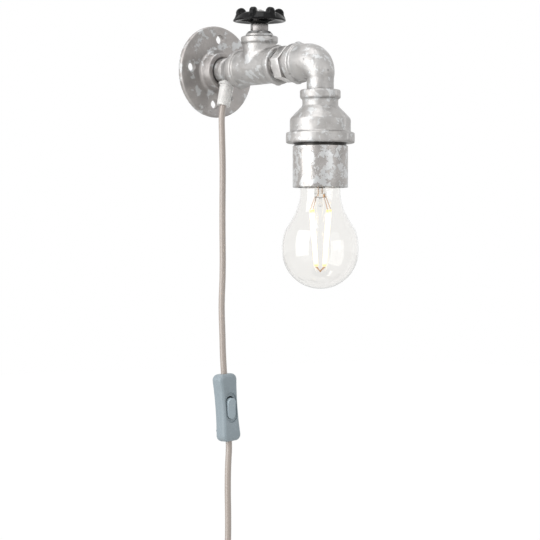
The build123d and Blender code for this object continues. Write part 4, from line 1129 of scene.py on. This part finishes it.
class PIPELIGHT_OT_tee(bpy.types.Operator):
    """Malleable tee and the hexagon nipple beyond it"""

    bl_idname = "pipelight.tee"
    bl_label = "Tee"

    def execute(self, context):
        base = rod(RUN, 32, 84)
        branch_bead = (15.0, 19.1, 24.8)
        add = [
            (rod(LEG, 0, 24), BRANCH), (rod(*branch_bead, BEAD_ROUND), BRANCH),
            (bead_lugs(*branch_bead), BRANCH),
        ]
        cut = [(rod(10.2, 30, 86), ARM), (rod(TAPPED, 0, 26), BRANCH)]
        for end, outward, low in ((RUN_START, -1, RUN_START), (RUN_END, 1, RUN_END - RUN_BEAD_WIDTH)):
            bead = (RUN_BEAD, low, low + RUN_BEAD_WIDTH)
            add.append((rod(*bead, BEAD_ROUND), ARM))
            add.append((bead_lugs(*bead), ARM))
            inner = end - 12.5 * outward
            cut.append((rod(TAPPED, min(end, inner), max(end, inner)), ARM))
            cut.append((mouth(end, outward), ARM))
        piece = combined("tee_casting", ARM, base, add, cut)
        dress(cast_skin(piece, 5, root=self.branch_root), "tee_body")
        barrel = turned((BORE, 72.9, 0), (THREAD, 72.9, 0.4), (THREAD, 113.2, 0.4), (BORE, 113.2, 0))
        hexes = prism(hexagon(26.0, 47.5), 87.5, 96.6, 0.5)
        nipple = combined(
            "hex_nipple_barrel", ARM, hexes, add=[(barrel, ARM)], cut=[(rod(BORE, 70, 115), ARM)],
        )
        crisp(nipple, 34, 0.3)
        for start, turns in ((74, 7.0), (97.2, 7.5)):
            threaded(nipple, ARM, THREAD, 0.6, start, turns, sizes().pipe_thread_pitch)
        # The hexagon's paler finish is partly a painted highlight for the key lamp's reflection.
        dress(crisp(nipple, 34), "hex_nipple", finish="hex_zinc")
        return {"FINISHED"}

    def branch_root(self, point):
        """How near a point is to the corner where the branch leaves the run."""
        from_run = abs(math.hypot(point.x, point.z) - RUN)
        from_branch = abs(math.hypot(point.x, point.y + BRANCH_REACH / MM) - LEG)
        return max(0.0, 1.0 - max(from_run, from_branch) / 5.5) if point.z > 3 else 0.0


def bent_tube(radii, steps=28, around=72):
    """Quarter bend from the arm down to the lamp, by its radii at the start, halfway and at the end."""
    made = bmesh.new()
    centre = Vector((0, -ELBOW_BEND, ELBOW_STRAIGHT_END))
    across = Vector((1, 0, 0))
    start, middle, finish = radii
    rings = []
    for step in range(steps + 1):
        share = step / steps
        angle = math.pi / 2 * share
        radius = start * (1 - share) * (1 - 2 * share)
        radius += 4 * middle * share * (1 - share)
        radius += finish * share * (2 * share - 1)
        out = Vector((0, math.cos(angle), math.sin(angle)))
        spot = centre + out * ELBOW_BEND
        circle = []
        for index in range(around):
            turn = 2 * math.pi * index / around
            circle.append(made.verts.new(spot + (across * math.cos(turn) + out * math.sin(turn)) * radius))
        rings.append(circle)
    wall_between(made, rings)
    made.faces.new(rings[0])
    made.faces.new(list(reversed(rings[-1])))
    bmesh.ops.recalc_face_normals(made, faces=made.faces)
    return made


class PIPELIGHT_OT_elbow(bpy.types.Operator):
    """Street elbow: beaded socket on the arm, plain leg down to the lamp"""

    bl_idname = "pipelight.elbow"
    bl_label = "Elbow"

    def execute(self, context):
        bead = (16.0, ELBOW_START, 108.9)
        add = [
            (bent_tube((14.45, 13.35, PIPE)), ARM), (rod(PIPE, 13.5, 22), LAMP), (rod(10.45, 21, 36), LAMP),
            (rod(*bead, BEAD_ROUND), ARM), (bead_lugs(*bead), ARM),
        ]
        cut = [
            (rod(TAPPED, 100, ELBOW_STRAIGHT_END + 0.1), ARM), (mouth(ELBOW_START, -1), ARM),
            (bent_tube((10.3, 9.0, 7.5)), ARM), (rod(7.5, 13.8, 38), LAMP),
        ]
        straight = rod(14.45, ELBOW_START + 1, ELBOW_STRAIGHT_END + 0.2)
        piece = combined("elbow_casting", ARM, straight, add, cut)
        dress(cast_skin(piece, 6), "street_elbow")
        return {"FINISHED"}


# Valve: bonnet, gland, spindle and wheel


class PIPELIGHT_OT_valve(bpy.types.Operator):
    """Bonnet, gland nut and packing in the tee's branch"""

    bl_idname = "pipelight.valve"
    bl_label = "Valve"

    def execute(self, context):
        bonnet = turned(
            (5.1, 19, 0), (5.1, 28.9, 0), (9.0, 28.9, 0.8), (11.0, 26.8, 1.6), (11.3, 24.8, 0),
            (10.4, 24.8, 0), (10.4, 12, 0), (3.08, 12, 0), (3.08, 19, 0),
        )
        dress(crisp(to_object("bonnet_dome", bonnet, BRANCH), 35), "bonnet")
        nut = prism(hexagon(12.9, 64.2), 28.9, 34.9, 0.35)
        piece = combined(
            "gland_hexagon", BRANCH, nut, add=[(rod(5.0, 23, 29), BRANCH)],
            cut=[(rod(3.08, 20, 36), BRANCH)],
        )
        dress(crisp(piece, 34, 0.25), "gland_nut")
        dress_copies(("gland_packing", "packing_ring"))
        return {"FINISHED"}


class PIPELIGHT_OT_wheel(bpy.types.Operator):
    """Seven-knuckle handwheel with its spindle, washer and nut"""

    bl_idname = "pipelight.wheel"
    bl_label = "Handwheel"

    def execute(self, context):
        wheel = node_copy("handwheel", "wheel_casting")
        dress(cast_skin(wheel, 5, 0.00006, 120.0, 0.00042), "handwheel", body="wheel")
        dress_copies(
            ("valve_spindle", "spindle_rod", 0.1), ("wheel_washer", "washer_ring", 0.15),
            ("wheel_nut", "nut_hexagon", 0.15), body="wheel",
        )
        return {"FINISHED"}


# Reducer, sleeve and lampholder


RIB_TURN = -12


class PIPELIGHT_OT_reducer(bpy.types.Operator):
    """Bell reducer with the two ribs where its mould halves met"""

    bl_idname = "pipelight.reducer"
    bl_label = "Bell reducer"

    def execute(self, context):
        base = turned(
            (12.1, 23, 0), (15.95, 23, 1.2), (15.95, 30, 1.2), (14.1, 30, 0.9), (14.1, 35.6, 2.0),
            (23.9, 45.8, 4.0), (23.9, 56.3, 1.0), (27.0, 56.3, 1.2), (27.0, 64.9, 1.2), (20.6, 64.9, 0),
            (20.6, 50.4, 0), (18.0, 50.4, 0), (18.0, 47.2, 1.0), (10.55, 36.5, 1.0), (10.55, 24.2, 0),
        )
        bars = []
        for side in (-1, 1):
            rib = block(2.6, 4.0, 11.9, (0, side * 22.9, 50.35), 0.8)
            bars.append((spun(rib, RIB_TURN), LAMP))
            for radius, low, high in ((27.0, 56.3, 64.9), (15.95, 23, 30)):
                lug = block(3.4, 3.0, high - low - 2.4, (0, side * (radius - 0.6), (low + high) / 2), 0.6)
                bars.append((spun(lug, RIB_TURN), LAMP))
        piece = combined("reducer_casting", LAMP, base, bars)
        dress(cast_skin(piece, 4), "bell_reducer")
        return {"FINISHED"}


class PIPELIGHT_OT_sleeve(bpy.types.Operator):
    """Turned lamp sleeve and the lampholder inside it"""

    bl_idname = "pipelight.sleeve"
    bl_label = "Lamp sleeve"

    def execute(self, context):
        sleeve = turned(
            (18.9, 52, 0), (19.9, 52, 0.3), (20.4, 53, 0), (20.4, SHOULDER, 0), (21.7, SHOULDER, 0.5),
            (21.7, 99.4, 0.4), (18.9, 99.4, 0.3), segments=160,
        )
        dress(crisp(to_object("sleeve_barrel", sleeve, LAMP), 35), "lamp_sleeve")
        dress_copies(
            ("mounting_disc", "holder_disc", 0.12), ("holder_nut", "holder_hexagon", 0.12),
            ("holder_cap", "holder_dome", 0.12), ("holder_body", "holder_cup", 0.12),
            ("holder_terminals", "holder_clamps", 0.12), ("centre_contact", "holder_spring", 0.12),
        )
        tube = turned((3.7, 46.6, 0), (4.7, 46.6, 0.2), (4.7, 54.6, 0.2), (3.7, 54.6, 0))
        hollow = threaded(
            to_object("holder_tube", tube, LAMP), LAMP, 4.72, 0.27, 46.9, 7.4, 0.001, "bright_steel", 40,
        )
        dress(crisp(hollow, 40), "holder_nipple")
        shell = merged(thread_wall(13.28, 13.68, 63.1, 89.9, 0.0), ring(13.68, 7.8, 62.6, 63.0))
        dress(crisp(to_object("holder_thread", shell, LAMP), 40), "holder_shell")
        return {"FINISHED"}


def thread_wall(inner, outer, low, high, depth, around=72, rows=6):
    """Thin wall round Z whose radius waves in a rounded thread of the given depth."""
    pitch = sizes().cap_thread_pitch / MM
    made = bmesh.new()
    count = int((high - low) / pitch * rows) + 1
    skins = []
    for base in (outer, inner):
        skin = []
        for row in range(count + 1):
            height = low + (high - low) * row / count
            fade = min(1.0, (height - low) / 2.0, (high - height) / 2.0)
            line = []
            for step in range(around):
                angle = 2 * math.pi * step / around
                wave = (math.cos(2 * math.pi * (height / pitch) - angle) - 1) / 2
                radius = base + wave * depth * fade
                line.append(made.verts.new((radius * math.cos(angle), radius * math.sin(angle), height)))
            skin.append(line)
        skins.append(skin)
    for skin in skins:
        wall_between(made, skin)
    for row in (0, count):
        wall_between(made, (skins[0][row], skins[1][row]))
    bmesh.ops.recalc_face_normals(made, faces=made.faces)
    return made


# Lamp


FILAMENT_TURN = -12.2
GLOBE = 30.1
GLOBE_MIDDLE = 148.6
GLASS_WALL = 0.8


def spline_points(points, steps=6):
    """Smooth line through points, as a list of (radius, height)."""
    made = []
    for index in range(len(points) - 1):
        before = Vector(points[max(index - 1, 0)])
        first, second = Vector(points[index]), Vector(points[index + 1])
        after = Vector(points[min(index + 2, len(points) - 1)])
        for step in range(steps):
            share = step / steps
            bend = (2 * before - 5 * first + 4 * second - after) * share**2
            twist = (3 * first - before - 3 * second + after) * share**3
            made.append(tuple(0.5 * (2 * first + (second - before) * share + bend + twist)))
    made.append(tuple(points[-1]))
    return made


def glass_outline(inset):
    """Half outline of the lamp's glass from its root to its lowest point."""
    upper = [
        (12.5, 85.0), (12.5, 92.0), (13.2, 94.4), (15.2, 97.4), (15.9, 99.4), (15.9, 105.6), (16.5, 109.6),
        (17.6, 113.8), (19.4, 118.8), (21.9, 123.4), (25.3, 129.2), (27.6, 133.0), (29.3, 138.6),
        (GLOBE, 144.6), (GLOBE, GLOBE_MIDDLE),
    ]
    bowl = []
    for step in range(1, 17):
        angle = math.radians(90 * step / 16)
        bowl.append((GLOBE * math.cos(angle), GLOBE_MIDDLE + GLOBE * math.sin(angle)))
    line = spline_points(upper) + bowl
    shifted = []
    for index, (radius, height) in enumerate(line):
        before, after = Vector(line[max(index - 1, 0)]), Vector(line[min(index + 1, len(line) - 1)])
        way = (after - before).normalized()
        side = Vector((-way.y, way.x)) * inset
        shifted.append((max(radius + side.x, 0.0), height + side.y))
    shifted[-1] = (0.0, line[-1][1] - inset)
    return shifted


class PIPELIGHT_OT_lamp(bpy.types.Operator):
    """Clear lamp with its cap, stem and lit filaments"""

    bl_idname = "pipelight.lamp"
    bl_label = "Lamp"
    # Support wires above and below the filaments, and the leads in the stem: count, thickness, then the
    # radius and height of each ring's top and foot
    wire_rings = (
        (4, 0.0003, 0.0051, 0.1063, 0.0096, 0.1165),
        (4, 0.0003, 0.0046, 0.1615, 0.0002, 0.165),
        (2, 0.00045, 0.0023, 0.0925, 0.0027, 0.1063),
    )

    def execute(self, context):
        outline = glass_outline(0.0) + list(reversed(glass_outline(GLASS_WALL)))
        glass = lathe(outline, 128)
        dress(crisp(to_object("lamp_globe", glass, LAMP), 60), "bulb_glass", body="lamp")
        stem = turned(
            (11.6, 85.4, 0), (11.6, 86.2, 0.3), (4.7, 91.4, 2.0), (4.7, 107.7, 1.2), (1.0, 107.7, 0.4),
            (1.0, 111.4, 0), (1.8, 112.4, 0.4), (1.8, 113.8, 0.5), (0, 114.6, 0), (0, 104.7, 0),
            (3.9, 104.7, 0.8), (3.9, 90.6, 2.0), (10.4, 85.4, 0), segments=64,
        )
        dress(crisp(to_object("lamp_stem", stem, LAMP), 50), "bulb_stem", body="lamp")
        start = 75.0
        shoulder = turned(
            (13.2, start, 0), (12.8, start, 0), (12.8, 74.4, 0), (11.8, 73.0, 0), (12.2, 73.0, 0.2),
            (13.2, 74.2, 0.3), segments=72,
        )
        cap = to_object("lamp_cap", merged(thread_wall(12.8, 13.2, start, 92.0, 0.55), shoulder), LAMP)
        dress(crisp(cap, 45), "bulb_cap", body="lamp")
        dress_copies(("bulb_insulator", "lamp_insulator", 0.2), body="lamp")
        dress_copies(("bulb_contact", "lamp_tip_button"), body="lamp_tip")
        self.filaments()
        return {"FINISHED"}

    def filaments(self):
        phase = math.radians(FILAMENT_TURN)
        empty = to_object("lamp_filaments", bmesh.new())
        grown(empty, "Ring of Sticks", LAMP, "filament", Phase=phase)
        dress(crisp(empty, 50), "bulb_filaments", body="lamp")
        wires = to_object("lamp_wires", rod(0.7, 163.8, 165.6, 0.5, 12), LAMP)
        for count, thickness, top_radius, top_height, foot_radius, foot_height in self.wire_rings:
            values = {"Top_Radius": top_radius, "Top_Height": top_height, "Foot_Radius": foot_radius}
            values.update(Foot_Height=foot_height, Count=count, Thickness=thickness, Smooth_Faces=10)
            grown(wires, "Ring of Sticks", LAMP, "lamp_wire", Phase=phase, **values)
        dress(crisp(wires, 50), "bulb_wires", body="lamp")


# Cord grip and leads


class PIPELIGHT_OT_grip(bpy.types.Operator):
    """Clear grip under the nipple, its screw, the sheath's end and the two leads"""

    bl_idname = "pipelight.grip"
    bl_label = "Cord grip"

    def execute(self, context):
        body = turned(
            (2.8, 7, 0), (4.9, 7, 0.5), (4.9, 10.7, 0), (7.0, 10.7, 0.5), (7.0, 12.7, 0.7),
            (5.8, 12.7, 0.5), (5.4, 30, 0.7), (2.8, 30, 0.5),
        )
        hole = rod(1.55, 0, 12, segments=24)
        across = GRIP @ Matrix.Translation((0, 0, 0.022)) @ Matrix.Rotation(math.pi / 2, 4, "Y")
        piece = combined("grip_body", GRIP, body, cut=[(hole, across)])
        dress(crisp(piece, 35), "cord_grip")
        dress_copies(
            ("cord_grip_screw", "grip_screw", 0.08), ("cord_entry", "grip_sheath", 0.1),
            ("lead_brown", "brown_lead"), ("lead_blue", "blue_lead"),
        )
        return {"FINISHED"}


# Switch and plug


class PIPELIGHT_OT_switch(bpy.types.Operator):
    """Inline rocker switch: its two shells and rocker"""

    bl_idname = "pipelight.switch"
    bl_label = "Switch"

    def execute(self, context):
        dress_copies(
            ("switch_front", "switch_shell_front", 0.15, 28),
            ("switch_back", "switch_shell_back", 0.15, 28),
        )
        rocker = node_copy("switch_rocker", "switch_rocker_key", 0.1, 28)
        dress(rocker, "switch_rocker", body="rocker", finish="rocker_grey")
        return {"FINISHED"}


class PIPELIGHT_OT_plug(bpy.types.Operator):
    """Flat two-pin plug and the strap round the coil"""

    bl_idname = "pipelight.plug"
    bl_label = "Plug and strap"

    def execute(self, context):
        dress_copies(
            ("plug_body", "plug_moulding", 0.3, 28), ("plug_pins", "plug_contacts", 0.0, 28),
            ("plug_pin_sleeves", "plug_collars", 0.1, 28), ("coil_tie", "coil_strap", 0.2, 28),
        )
        return {"FINISHED"}


class PIPELIGHT_OT_inner(bpy.types.Operator):
    """Finishes of the inner parts that keep their frame shapes"""

    bl_idname = "pipelight.inner"
    bl_label = "Inner parts"

    def execute(self, context):
        for node in INSIDE_SWITCH:
            part = frame["nodes"][node]
            for holder in part.material_slots:
                holder.material = finish_of(NODE_SLOTS[node])
        return {"FINISHED"}


class PIPELIGHT_PT_panel(bpy.types.Panel):
    """Lists the light's pieces, sizes and colours"""

    bl_idname = "PIPELIGHT_PT_panel"
    bl_label = "Pipe Wall Light"
    bl_space_type = "VIEW_3D"
    bl_region_type = "UI"
    bl_category = "Pipe Light"

    def draw(self, context):
        layout = self.layout
        for operator in OPERATORS:
            layout.operator(operator.bl_idname)
        for label, group in (("Sizes", sizes()), ("Colours", colours())):
            box = layout.box()
            box.label(text=label)
            for key in group.__annotations__:
                box.prop(group, key)


OPERATORS = (
    PIPELIGHT_OT_stage, PIPELIGHT_OT_cords, PIPELIGHT_OT_flange, PIPELIGHT_OT_tee, PIPELIGHT_OT_elbow,
    PIPELIGHT_OT_valve, PIPELIGHT_OT_wheel, PIPELIGHT_OT_reducer, PIPELIGHT_OT_sleeve, PIPELIGHT_OT_lamp,
    PIPELIGHT_OT_grip, PIPELIGHT_OT_switch, PIPELIGHT_OT_plug, PIPELIGHT_OT_inner,
)
CLASSES = (PipeLightSizes, PipeLightColours, *OPERATORS, PIPELIGHT_PT_panel)


def register():
    for item in CLASSES:
        bpy.utils.register_class(item)
    bpy.types.Scene.pipe_light_sizes = PointerProperty(type=PipeLightSizes)
    bpy.types.Scene.pipe_light_colours = PointerProperty(type=PipeLightColours)


def unregister():
    del bpy.types.Scene.pipe_light_colours
    del bpy.types.Scene.pipe_light_sizes
    for item in reversed(CLASSES):
        bpy.utils.unregister_class(item)


def main():
    register()
    for operator in OPERATORS:
        group, name = operator.bl_idname.split(".")
        getattr(getattr(bpy.ops, group), name)()


if __name__ == "__main__":
    main()
